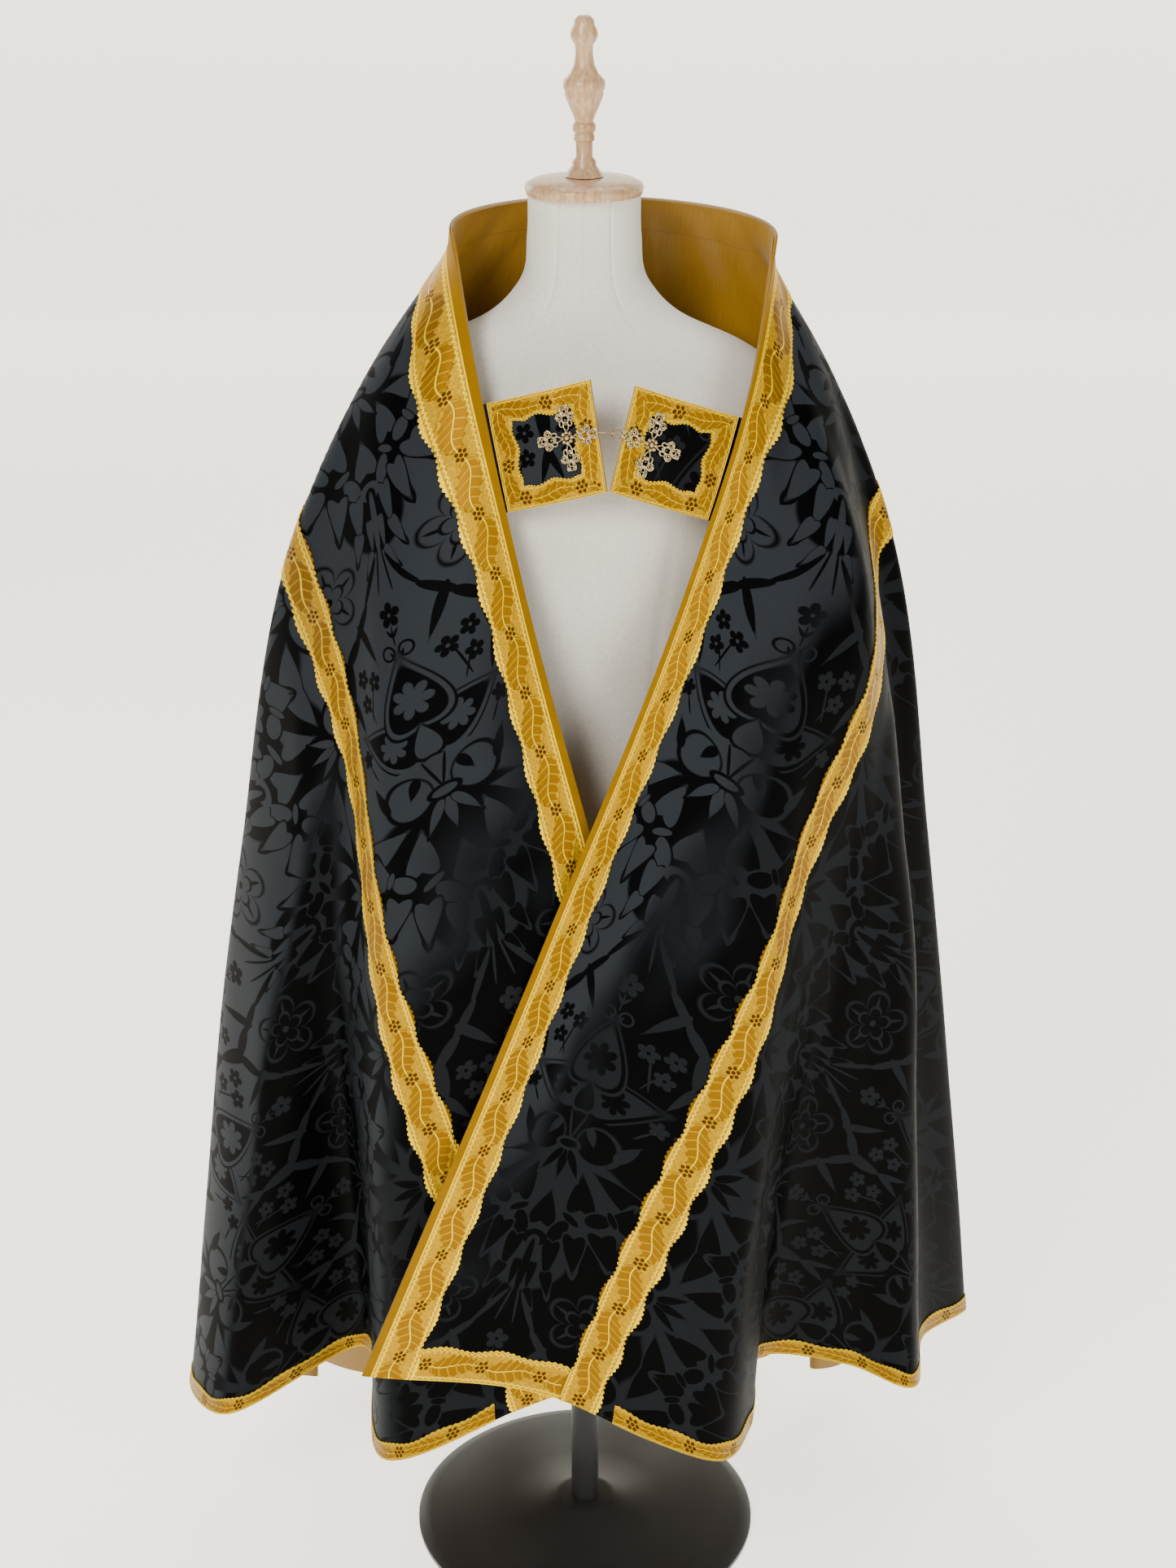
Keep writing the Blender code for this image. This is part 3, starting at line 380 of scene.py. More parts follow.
class Term:
    """A value in a node tree. Arithmetic on it adds the nodes that work it out."""

    def __init__(self, wires, socket):
        self.wires = wires
        self.socket = socket

    def __add__(self, other):
        return self.wires.math("ADD", self, other)

    def __sub__(self, other):
        return self.wires.math("SUBTRACT", self, other)

    def __rsub__(self, other):
        return self.wires.math("SUBTRACT", other, self)

    def __mul__(self, other):
        return self.wires.math("MULTIPLY", self, other)

    def __truediv__(self, other):
        return self.wires.math("DIVIDE", self, other)

    def __pow__(self, other):
        return self.wires.math("POWER", self, other)

    def __abs__(self):
        return self.wires.math("ABSOLUTE", self)


class Wires:
    """Short calls that build one node tree."""

    def __init__(self, tree):
        self.tree = tree

    def feed(self, socket, value):
        if isinstance(value, Term):
            self.tree.links.new(value.socket, socket)
        else:
            socket.default_value = value

    def add(self, kind, inputs=None, **settings):
        made = self.tree.nodes.new(kind)
        for key, value in settings.items():
            setattr(made, key, value)
        for key, value in (inputs or {}).items():
            self.feed(made.inputs[key], value)
        return made

    def term(self, kind, inputs=None, output=0, **settings):
        return Term(self, self.add(kind, inputs, **settings).outputs[output])

    def math(self, operation, *values):
        return self.term("ShaderNodeMath", dict(enumerate(values)), operation=operation)

    def sine(self, angle):
        return self.math("SINE", angle)

    def larger(self, a, b):
        return self.math("MAXIMUM", a, b)

    def smaller(self, a, b):
        return self.math("MINIMUM", a, b)

    def step(self, low, high, value):
        """0 at low, 1 at high and smooth between."""
        return self.term("ShaderNodeMapRange", {"Value": value, "From Min": low, "From Max": high},
                         interpolation_type="SMOOTHSTEP")

    def mix(self, share, a, b):
        return self.term("ShaderNodeMix", {0: share, 6: a, 7: b}, 2, data_type="RGBA")

    def dimmed(self, colour, value, share=1.0):
        """A colour times a grey value."""
        grey = self.vector(value, value, value)
        return self.term("ShaderNodeMix", {0: share, 6: colour, 7: grey}, 2, data_type="RGBA",
                         blend_type="MULTIPLY")

    def parts(self, vector):
        return [Term(self, part) for part in self.add("ShaderNodeSeparateXYZ", {0: vector}).outputs]

    def vector(self, x, y, z=0.0):
        return self.term("ShaderNodeCombineXYZ", {0: x, 1: y, 2: z})

    def length(self, vector):
        return self.term("ShaderNodeVectorMath", {0: vector}, "Value", operation="LENGTH")

    def cut(self):
        """The piece's map: its flat cut in metres."""
        return self.term("ShaderNodeUVMap", uv_map="cut")

    def spot(self):
        return self.term("ShaderNodeTexCoord", output="Object")

    def noise(self, vector, scale, detail=2.0, roughness=0.5):
        return self.term("ShaderNodeTexNoise", {"Vector": vector, "Scale": scale, "Detail": detail,
                                                "Roughness": roughness}, "Fac")

    def bump(self, height, strength, distance):
        return self.term("ShaderNodeBump", {"Height": height, "Strength": strength,
                                            "Distance": distance})

    def use(self, group, inputs):
        made = self.add("ShaderNodeGroup", inputs, node_tree=group)
        return {socket.name: Term(self, socket) for socket in made.outputs}


def new_group(name, inputs, outputs, vectors=()):
    """A group of floats, but for the named vectors: its wires, inputs and output sockets."""
    tree = bpy.data.node_groups.new(name, "ShaderNodeTree")
    for direction, labels in (("INPUT", inputs), ("OUTPUT", outputs)):
        for label in labels:
            kind = "NodeSocketVector" if label in vectors else "NodeSocketFloat"
            tree.interface.new_socket(label, in_out=direction, socket_type=kind)
    wires = Wires(tree)
    sockets = wires.add("NodeGroupInput").outputs
    given = {label: Term(wires, sockets[label]) for label in inputs}
    return wires, given, wires.add("NodeGroupOutput").inputs


def finish(name, constants):
    """A new material: its wires and its shader's inputs, with the constants set."""
    made = bpy.data.materials.new(name)
    made.use_nodes = True
    shader = made.node_tree.nodes["Principled BSDF"].inputs
    for key, value in constants.items():
        shader[key].default_value = value
    return made, Wires(made.node_tree), shader


def dress(wires, shader, colour, rough, height, strength, distance):
    """Feed a shader its colour, its roughness and its bump."""
    wires.feed(shader["Base Color"], colour)
    wires.feed(shader["Roughness"], rough)
    wires.feed(shader["Normal"], wires.bump(height, strength, distance))


# ---- the marks that make up the damask's figure ----

LEAF_BELLY = 0.85
LEAF_NOTCH = 0.33
PETAL_ROUND = 0.6
PETAL_REACH = 0.55


def mark_group(name):
    """A group that tells how far inside a mark a spot is, with the mark's own coordinates:
    1 at its tip and at its side."""
    wires, given, out = new_group(name, ("Vector", "Place", "Turn", "Size", "Shape"), ("Inside",),
                                  ("Vector", "Place", "Size"))
    local = wires.term("ShaderNodeMapping", {
        "Vector": given["Vector"], "Location": given["Place"], "Scale": given["Size"],
        "Rotation": wires.vector(0.0, 0.0, given["Turn"])}, vector_type="TEXTURE")
    return wires, local, given["Shape"], out[0]


def leaf_group():
    """A leaf with a pointed tip. Shape notches its stem end, as on a heart."""
    wires, local, shape, inside = mark_group("leaf mark")
    x, y, _ = wires.parts(local)
    x = x + shape * (abs(y) - LEAF_NOTCH)
    ahead = 1.0 - x
    wires.feed(inside, ahead * abs(ahead) * (x * LEAF_BELLY + LEAF_BELLY) - y * y)
    return wires.tree


def oval_group():
    """An oval. Shape above zero leaves only a ring of that half width."""
    wires, local, shape, inside = mark_group("oval mark")
    solid = 1.0 - wires.length(local)
    ring = shape - abs(solid - shape)
    is_ring = wires.math("GREATER_THAN", shape, 0.0)
    wires.feed(inside, wires.term("ShaderNodeMix", {0: is_ring, 2: solid, 3: ring}))
    return wires.tree


def flower_group():
    """A flower of twice Shape petals."""
    wires, local, shape, inside = mark_group("flower mark")
    x, y, _ = wires.parts(local)
    wave = abs(wires.math("COSINE", wires.math("ARCTAN2", y, x) * shape))
    petal = wave ** PETAL_ROUND * PETAL_REACH + (1 - PETAL_REACH)
    wires.feed(inside, petal - wires.length(local))
    return wires.tree


# The damask's figure, half of one repeat in millimetres: the other half mirrors it. The
# cloth starts as figure. "cut" rows bring the ground up, "lay" rows the figure again, and
# "halo" rows lay it with ground all round.
REPEAT_WIDTH = 164.0
REPEAT_HEIGHT = 440.0
REPEAT_BASE = 118.0
Mark = namedtuple("Mark", "kind act x y turn length width shape")
FIGURE = [
    ("oval", "cut", 0, 226, 0, 94, 56, 0), ("oval", "cut", 0, 152, 0, 46, 50, 0),
    ("leaf", "halo", 0, 203, 90, 19, 16, 0.6), ("leaf", "halo", 33, 232, 104, 21, 15, 0.6),
    ("leaf", "halo", 62, 255, 162, 22, 13, 0.6), ("leaf", "halo", 77, 231, 80, 16, 10, 0.5),
    ("oval", "halo", 56, 212, 38, 13, 8.5, 0), ("oval", "halo", 68, 222, 128, 9, 3.6, 0),
    ("oval", "halo", 22, 181, 64, 16, 8.5, 0), ("oval", "halo", 31, 200, 156, 11, 4.0, 0),
    ("leaf", "halo", 73, 183, -62, 19, 14, 0.6), ("leaf", "halo", 46, 163, -76, 21, 12, 0.6),
    ("leaf", "halo", 0, 259, -90, 17, 5, 0), ("leaf", "halo", 13, 262, -58, 17, 4.5, 0),
    ("leaf", "halo", 23, 147, -84, 22, 9.5, 0.5), ("leaf", "halo", 9.5, 122, -88, 17, 5.0, 0.3),
    ("leaf", "halo", 30, 117, -70, 15, 7.0, 0.4), ("leaf", "halo", 17, 95, -60, 13, 4.5, 0.2),
    ("oval", "lay", 0, 167, 0, 14, 10, 0), ("oval", "cut", 0, 161, 0, 7.5, 9.5, 0),
    ("oval", "lay", 0, 132, 90, 34, 4.6, 0), ("oval", "cut", 6.5, 84, -81, 24, 1.4, 0),
    ("oval", "cut", 22, 77, -58, 27, 3.2, 0), ("oval", "cut", 47, 41, -48, 22, 4.6, 0),
    ("oval", "cut", 69, 18, -42, 19, 6.0, 0), ("oval", "cut", 80, -10, -82, 23, 5.0, 0),
    ("leaf", "cut", 41, 19, -121, 27, 5.0, 0), ("leaf", "cut", 77, -48, -112, 22, 4.5, 0),
    ("flower", "cut", 82, 86, 90, 41, 41, 2.5), ("flower", "lay", 82, 86, 90, 37, 37, 2.5),
    ("flower", "cut", 82, 86, 90, 22, 22, 2.5), ("flower", "lay", 82, 86, 90, 18.5, 18.5, 2.5),
    ("leaf", "cut", 82, 113, 90, 8, 1.8, 0), ("leaf", "cut", 56, 94, 162, 8, 1.8, 0),
    ("leaf", "cut", 66, 64, 234, 8, 1.8, 0), ("oval", "cut", 82, 86, 0, 4, 4, 0),
    ("flower", "cut", 0, 38, 90, 13, 13, 2.5), ("oval", "lay", 0, 38, 0, 2.0, 2.0, 0),
    ("oval", "cut", 0, 17, 90, 11, 1.0, 0), ("leaf", "cut", 3.5, 20, 50, 6, 1.8, 0),
    ("oval", "cut", 9.5, 1, 0, 8, 8, 0.15), ("oval", "cut", 3, -6, 62, 9, 1.7, 0),
    ("leaf", "cut", 34, -88, 22, 40, 28, 0.3), ("leaf", "lay", 34, -88, 22, 37, 25.5, 0.3),
    ("leaf", "cut", 33, -88, 22, 32, 21, 0.3), ("flower", "lay", 29, -90, 22, 15, 15, 3.5),
    ("leaf", "cut", 0, -47, 90, 42, 33, 0.3), ("leaf", "lay", 0, -47, 90, 39, 30.5, 0.3),
    ("leaf", "cut", 0, -48, 90, 34, 26, 0.3), ("flower", "lay", 0, -52, 90, 19, 19, 3.5),
    ("leaf", "cut", 0, -98, 90, 20, 14, 0.2), ("leaf", "lay", 0, -98, 90, 17, 11, 0.2),
    ("flower", "cut", 38, -20, 90, 10.5, 10.5, 2.5), ("oval", "lay", 38, -20, 0, 1.9, 1.9, 0),
    ("flower", "cut", 60, -13, 54, 10.5, 10.5, 2.5), ("oval", "lay", 60, -13, 0, 1.9, 1.9, 0),
    ("flower", "cut", 58, -39, 18, 10, 10, 2.5), ("oval", "lay", 58, -39, 0, 1.8, 1.8, 0),
    ("oval", "cut", 46, -42, 104, 19, 1.2, 0), ("oval", "cut", 51, -44, 66, 19, 1.0, 0),
    ("flower", "cut", 71, -93, 90, 9.5, 9.5, 2.5), ("oval", "cut", 61, -109, 56, 10, 1.2, 0),
    ("oval", "cut", 31, 292, 0, 24, 23, 0), ("oval", "lay", 29, 292, 0, 20, 20, 0),
    ("leaf", "cut", 22, 300, -62, 11, 5.0, 0), ("leaf", "cut", 57, 302, 62, 17, 6.0, 0),
    ("oval", "cut", 0, 284, 0, 15, 8, 0), ("oval", "lay", 0, 284, 0, 10.5, 4.6, 0),
    ("oval", "cut", 5, 306, 74, 19, 1.4, 0),
]
MARK_SOFTNESS = 0.05
HALO = 0.26


def figure_group():
    """The damask's figure: 1 on it and 0 on the ground. The vector is in metres of cloth."""
    kinds = {"leaf": leaf_group(), "oval": oval_group(), "flower": flower_group()}
    wires, given, out = new_group("damask figure", ("Vector",), ("Figure",), ("Vector",))
    u, v, _ = wires.parts(given["Vector"])
    across = wires.math("PINGPONG", u * 1000.0, REPEAT_WIDTH / 2)
    up = wires.math("FLOORED_MODULO", v * 1000.0 + REPEAT_BASE, REPEAT_HEIGHT) - REPEAT_BASE
    spot = wires.vector(across, up)
    found = 1.0
    for mark in map(Mark._make, FIGURE):
        inside = wires.use(kinds[mark.kind], {
            "Vector": spot, "Place": (mark.x, mark.y, 0), "Turn": math.radians(mark.turn),
            "Size": (mark.length, mark.width, 1), "Shape": mark.shape})["Inside"]
        if mark.act == "halo":
            found = wires.larger(wires.smaller(found, -HALO - inside), inside)
        elif mark.act == "lay":
            found = wires.larger(found, inside)
        else:
            found = wires.smaller(found, inside * -1.0)
    wires.feed(out[0], wires.step(-MARK_SOFTNESS, MARK_SOFTNESS, found))
    return wires.tree


# ---- finishes ----

# Damask colours with painted sheen and shade: where the cloth leans back, the figure is painted as
# if it caught the light.
# Where it hangs steeply, the ground is painted so instead.
FIGURE_PAINTED_LIT = (0.019, 0.022, 0.026, 1)
FIGURE_PAINTED_SHADED = (0.0004, 0.0004, 0.0005, 1)
GROUND_PAINTED_LIT = (0.0085, 0.0098, 0.0115, 1)
GROUND_PAINTED_SHADED = (0.0006, 0.0006, 0.0007, 1)
LEAN = (0.10, 0.26)
LEAN_ACROSS = -0.22
LEAN_UNEVEN = 0.22
BAND_FIGURE = (-0.1325, 0.155)
BODY_FIGURE = (0.0, 0.10)
DAMASK_SHINE = 0.025
FIGURE_WOBBLE = 0.004
WOBBLE_SCALE = 9.0
CLOUD_SCALE = 5.5
DUST_SCALE = 900.0
TWILL_SCALE = 420.0


def make_damask(name, figure, shift):
    """Black damask. Shift moves the repeat's middle on the cut."""
    made, wires, shader = finish(name, {"Specular IOR Level": DAMASK_SHINE})
    spot = wires.term("ShaderNodeMapping", {"Vector": wires.cut(), "Location": (*shift, 0)})
    wobble = (wires.noise(spot, WOBBLE_SCALE, 1.0) - 0.5) * FIGURE_WOBBLE
    bent = wires.term("ShaderNodeVectorMath", {0: spot, 1: wires.vector(wobble, 0.0)},
                      operation="ADD")
    mask = wires.use(figure, {"Vector": bent})["Figure"]
    # Painted sheen and shade: how far the cloth faces up and to the left, with a little noise,
    # picks lit or shaded colours for figure and ground
    facing_x, _, facing_up = wires.parts(wires.term("ShaderNodeNewGeometry", output="Normal"))
    cloudy = wires.noise(spot, CLOUD_SCALE)
    lean = facing_up + (cloudy - 0.5) * LEAN_UNEVEN + facing_x * LEAN_ACROSS
    painted_light_share = wires.step(*LEAN, lean)
    colour = wires.mix(mask, wires.mix(painted_light_share, GROUND_PAINTED_LIT, GROUND_PAINTED_SHADED),
                       wires.mix(painted_light_share, FIGURE_PAINTED_SHADED, FIGURE_PAINTED_LIT))
    dusty = wires.noise(spot, DUST_SCALE, 1.0) * 0.5 + 0.75
    twill = wires.term("ShaderNodeTexWave", {"Vector": spot, "Scale": TWILL_SCALE,
                                             "Distortion": 0.6, "Detail": 1.0}, "Fac",
                       wave_type="BANDS", bands_direction="DIAGONAL")
    dress(wires, shader, wires.dimmed(colour, dusty), cloudy * 0.08 + 0.52 - mask * 0.10, twill,
          0.10, 0.0003)
    return made


# A galloon's leaf, in half widths of the braid, and its berries, in metres
GALLOON_REPEAT = 0.064
SCALLOPS = 10
LEAF_SWAY = 0.21
LEAF_WIDTH = 0.88
LEAF_NARROWER = 0.12
LEAF_SWELL = 0.6
LEAF_TEETH = 7
TOOTH_DEPTH = 0.17
LEAF_LIMIT = (0.73, 0.69)
LEAF_EDGE = 0.03
VEIN = (0.05, 0.02)
SIDE_VEINS = 7.0
SIDE_VEIN = (0.78, 0.95)
SIDE_VEIN_SHARE = 0.25
LEAF_RIM = (0.10, 0.03)
BERRY_RING = 0.0053
BERRY = (0.0023, 0.0017)
CLUSTER = (0.0092, 0.0078)
CORD_LINE = 0.74
CORD_SCALLOP = 0.09
CORD = (0.09, 0.02)
CORD_OUTER = (0.90, 0.97)


def galloon_group():
    """A galloon's face. Along is in metres and Across runs from -1 to 1. Leaf is the amber
    leaf, Vein its light lines, Berry the dark dots, Cord the corded scallops at the edges."""
    wires, given, out = new_group("galloon face", ("Along", "Across", "Half"),
                                  ("Leaf", "Vein", "Berry", "Cord", "Grain", "Height"))
    y = given["Across"] * given["Half"]
    edge = abs(given["Across"])
    cycle = wires.math("FRACT", given["Along"] / GALLOON_REPEAT)
    angle = cycle * (2 * math.pi)
    off = abs(given["Across"] + wires.sine(angle) * LEAF_SWAY)
    width = wires.sine(cycle * math.pi) ** LEAF_SWELL * LEAF_WIDTH - LEAF_NARROWER
    teeth = abs(wires.sine(angle * (LEAF_TEETH / 2))) * TOOTH_DEPTH
    leaf = wires.step(-LEAF_EDGE, LEAF_EDGE, width - teeth - off) * wires.step(*LEAF_LIMIT, edge)
    side_vein = wires.step(*SIDE_VEIN, wires.sine((off - angle) * SIDE_VEINS)) * SIDE_VEIN_SHARE
    vein = wires.larger(wires.step(*VEIN, off), side_vein) * leaf
    rim = wires.step(*LEAF_RIM, abs(off - width))

    x = (wires.math("FRACT", cycle + 0.5) - 0.5) * GALLOON_REPEAT
    reach = wires.length(wires.vector(x, y))
    sector = wires.math("PINGPONG", wires.math("ARCTAN2", y, x), math.pi / 6)
    away = wires.length(wires.vector(reach - BERRY_RING, reach * sector))
    berry = wires.step(*BERRY, wires.smaller(away, reach))
    cluster = wires.step(*CLUSTER, reach)

    scallop = abs(wires.sine(given["Along"] * (math.pi * SCALLOPS / GALLOON_REPEAT)))
    cord = wires.step(*CORD, abs(edge - (scallop * CORD_SCALLOP + CORD_LINE)))
    cord = wires.larger(cord, wires.step(*CORD_OUTER, edge))
    spot = wires.vector(given["Along"], y)
    ribbed = wires.noise(spot, 330.0, 2.0, 0.6) * (1.0 - leaf)
    height = (wires.noise(spot, 1500.0, 2.0, 0.7) * 0.25 + ribbed * 0.9 + vein * 0.5 + rim * 0.35
              + cord * 0.6 + cluster * 0.35 - berry * 0.8)
    for socket, value in zip(out, (leaf * (1.0 - cluster), vein, berry, cord, ribbed, height)):
        wires.feed(socket, value)
    return wires.tree


GOLD_PALE = (0.51, 0.285, 0.0)
GOLD_AMBER = (0.235, 0.104, 0.0)
GOLD_DEEP = (0.085, 0.028, 0.0)
GOLD_LIGHT = (0.90, 0.58, 0.0)
GOLD_BUMP = 0.0011
SHADE = (0.62, 0.38)
SHADE_SHARE = 0.42
PATCH_SCALE = 24.0
PATCH_SHARE = 0.7
RIB = 0.0011
BRIGHT_EDGE = 1.12
BRIGHT_OUTER = 0.98
BRIGHT_HEM = 0.80
BRIGHT_TAB = 1.05


def make_galloon(name, face, half, bright):
    """Gold galloon. Its map holds metres along and -1 to 1 across; beyond -1 it is a plain
    amber strip. Bright is how far its colours are raised."""
    made, wires, shader = finish(name, {"Metallic": 0.65, "Specular IOR Level": 0.05})
    pale, amber, deep, light = (tuple(min(part * bright, 1) for part in colour) + (1,)
                                for colour in (GOLD_PALE, GOLD_AMBER, GOLD_DEEP, GOLD_LIGHT))
    along, across, _ = wires.parts(wires.cut())
    marks = wires.use(face, {"Along": along, "Across": across, "Half": half})
    shade = wires.step(*SHADE, marks["Grain"]) * SHADE_SHARE
    colour = wires.mix(marks["Leaf"], wires.mix(shade, pale, amber), amber)
    colour = wires.mix(marks["Cord"], colour, light)
    colour = wires.mix(marks["Vein"], colour, light)
    colour = wires.mix(marks["Berry"], colour, deep)
    strip = wires.math("LESS_THAN", across, -1.0)
    ribs = wires.sine(along * (2 * math.pi / RIB))
    colour = wires.mix(strip, colour, wires.mix(ribs * 0.12 + 0.2, amber, pale))
    patch = wires.noise(wires.vector(along, 0.0), PATCH_SCALE) * 0.5 + 0.75
    height = marks["Height"] * (1.0 - strip) + ribs * strip * 0.2
    dress(wires, shader, wires.dimmed(colour, patch, PATCH_SHARE), 0.50 - marks["Leaf"] * 0.16,
          height, 1.0, GOLD_BUMP)
    return made


SATIN_DARK = (0.22, 0.105, 0.002, 1)
SATIN_LIGHT = (0.36, 0.185, 0.004, 1)
STITCH = (0.20, 0.09, 0.006, 1)
STITCH_LINE = 0.034
STITCHES_A_METRE = 300.0
STITCH_EDGE = (0.0009, 0.0004)
STITCH_SHARE = 0.7


def make_lining():
    """Mustard satin with a fine warp and a line of stitches. Its map is the flat cut."""
    made, wires, shader = finish("mustard satin lining", {
        "Specular IOR Level": 0.5, "Sheen Weight": 0.12, "Anisotropic": 0.45})
    cut = wires.cut()
    u, v, _ = wires.parts(cut)
    warp = wires.noise(wires.vector(u * 60.0, v), 30.0)
    cloudy = wires.noise(cut, 7.0)
    colour = wires.mix(wires.step(0.3, 0.75, (warp + cloudy) * 0.5), SATIN_DARK, SATIN_LIGHT)
    line = wires.step(*STITCH_EDGE, abs(v - STITCH_LINE))
    dash = wires.math("LESS_THAN", wires.math("FRACT", u * STITCHES_A_METRE), STITCH_SHARE)
    dress(wires, shader, wires.mix(line * dash, colour, STITCH), cloudy * 0.12 + 0.34, warp,
          0.12, 0.0004)
    return made


GILT_DARK = (0.15, 0.10, 0.036, 1)
GILT_BRIGHT = (0.66, 0.52, 0.28, 1)


def make_filigree():
    """Antique gilt metal, darker and paler in small random patches."""
    made, wires, shader = finish("antique gilt filigree", {"Metallic": 1.0})
    worn = wires.noise(wires.spot(), 420.0, 3.0, 0.6)
    colour = wires.mix(wires.step(0.30, 0.62, worn), GILT_DARK, GILT_BRIGHT)
    dress(wires, shader, colour, 0.42 - worn * 0.20, wires.noise(wires.spot(), 1600.0), 0.25,
          0.0003)
    return made


BEECH_DARK = (0.40, 0.215, 0.095, 1)
BEECH_PALE = (0.60, 0.385, 0.205, 1)
BEECH_FLECK = (0.26, 0.13, 0.055, 1)


def make_beech():
    """Turned beech: pale, with short dark flecks along the grain and a thin varnish."""
    made, wires, shader = finish("turned beech", {"Coat Weight": 0.35, "Coat Roughness": 0.18,
                                                  "Specular IOR Level": 0.4})
    x, y, z = wires.parts(wires.spot())
    grain = wires.noise(wires.vector(x * 9.0, y * 9.0, z), 26.0, 4.0, 0.6)
    fleck = wires.noise(wires.vector(x * 6.0, y * 6.0, z), 170.0)
    colour = wires.mix(wires.step(0.32, 0.70, grain), BEECH_DARK, BEECH_PALE)
    colour = wires.mix(wires.step(0.60, 0.72, fleck) * 0.45, colour, BEECH_FLECK)
    dress(wires, shader, colour, grain * 0.16 + 0.34, grain, 0.08, 0.0004)
    return made


KNIT_COLUMNS = 3900.0
KNIT_ROWS = 3200.0
IVORY_DARK = (0.66, 0.62, 0.53, 1)
IVORY_PALE = (0.80, 0.765, 0.68, 1)


def make_cover():
    """Ivory jersey: fine knit columns and a little felting."""
    made, wires, shader = finish("ivory form cover", {"Sheen Weight": 0.25,
                                                      "Specular IOR Level": 0.25})
    spot = wires.spot()
    x, _, z = wires.parts(spot)
    knit = wires.sine(x * KNIT_COLUMNS) * wires.sine(z * KNIT_ROWS)
    fuzz = wires.noise(spot, 260.0, 3.0)
    tone = wires.noise(spot, 6.0) * 0.6 + fuzz * 0.4
    colour = wires.mix(wires.step(0.3, 0.7, tone), IVORY_DARK, IVORY_PALE)
    dress(wires, shader, colour, 0.88, knit + fuzz, 0.12, 0.0003)
    return made


IRON_DARK = (0.014, 0.014, 0.015, 1)
IRON_PALE = (0.030, 0.030, 0.031, 1)


def make_iron():
    """Black powder paint on steel, a little worn."""
    made, wires, shader = finish("black painted steel", {"Metallic": 0.15,
                                                         "Specular IOR Level": 0.45})
    spot = wires.spot()
    cloudy = wires.noise(spot, 9.0, 3.0)
    dress(wires, shader, wires.mix(cloudy, IRON_DARK, IRON_PALE), cloudy * 0.2 + 0.36,
          wires.noise(spot, 700.0), 0.15, 0.0002)
    return made


# ---- the cope ----

BODY_ROWS = 150
BODY_STEP = 0.0015
PANEL_TIP = 0.0006
BAND_ROWS = 34
BAND_COLUMNS = 230
BRAID_STEP = 0.0011
BRAID_ROWS = 9
FOOT_BRAID = (0.0011, 0.0021)
FOOT_BRAID_LAPS = (0.002, 0.001)
HEM_TIP = 0.004
HEM_STEP = BRAID_STEP * 1.25
HEM_ROWS = 6
HEM_SCALLOP = 0.8
PANELS = ("under_side", "back", "over_side")
SIDES = (("under", -1), ("over", 1))


def make_body(damask, lining):
    """The three damask panels of the half circle."""
    tip = math.asin(BAND_WIDTH / RADIUS) / math.pi + PANEL_TIP
    bounds = [tip, *SIDE_SEAMS, 1 - tip]
    gap = SEAM_GAP / (math.pi * RADIUS)
    for name, start, end in zip(PANELS, bounds, bounds[1:]):
        share = np.arange(start + gap, end - gap, BODY_STEP)
        share = np.append(share, end - gap)[:, None]
        first = (BAND_WIDTH + SEAM_GAP) / (RADIUS * np.sin(np.pi * share))
        t = np.linspace(0, 1, BODY_ROWS)[None]
        fall = np.minimum(first, 1) * (1 - t) + t
        share = np.broadcast_to(share, fall.shape)
        x, y = on_flat(share, fall)
        cloth("panel_" + name, share, fall, CLOTH, paired(x, -y), (damask, lining), "damask",
              "body_" + name)


def band_x(side, t, y):
    """Along the cut: t is 0 at the hem's arc and 1 at the centre back."""
    return side * (1 - t) * np.sqrt(RADIUS**2 - y**2)


def make_bands(damask, lining):
    """The two orphrey bands: the figure stands upright as they hang."""
    for name, side in SIDES:
        t = np.linspace(0, 1 - SEAM_GAP / RADIUS, BAND_COLUMNS)[:, None]
        y = np.linspace(FLAT_EDGE, BAND_WIDTH - SEAM_GAP, BAND_ROWS)[None]
        x = band_x(side, t, y)
        y = np.broadcast_to(y, x.shape)
        share, fall = on_cloth(x, y)
        cloth("orphrey_band_" + name, share, fall, CLOTH, paired(y, -abs(x)), (damask, lining),
              "damask", "orphrey_" + name)


SCALLOP_DEPTH = 0.0021
WANDER = 0.0022
BRAID_LOW = 0.0002


def scalloped(along, away):
    """How far a galloon's edge stands beyond its line."""
    small = np.abs(np.sin(np.pi * SCALLOPS * along / GALLOON_REPEAT)) - 0.5
    wide = np.sin(2 * np.pi * along / GALLOON_REPEAT + away)
    return SCALLOP_DEPTH * small + WANDER * wide


def long_braid(kind, band, side, low, high, finishes, strip=0.0):
    """A galloon along a band between two distances from the straight edge. It is scalloped
    on both edges, or on one where it has a plain strip along the other."""
    t = np.linspace(0, 1, int(RADIUS / BRAID_STEP))[:, None]
    along = (1 - t) * RADIUS
    first = low if strip else low - scalloped(along, 1.0)
    last = high + scalloped(along, 0.0)
    across = np.linspace(0, 1, BRAID_ROWS)[None]
    y = np.maximum(first * (1 - across) + last * across, BRAID_LOW)
    x = band_x(side, t, y)
    share, fall = on_cloth(x, y)
    middle, half = (low + strip + high) / 2, (high - low - strip) / 2
    cloth(f"{kind}_braid_{band}", share, fall, BRAID, paired(abs(x), (y - middle) / half),
          finishes, "galloon", f"{kind}_galloon_{band}",
          (RADIUS, high - low))


PLAIN_STRIP = 0.0095


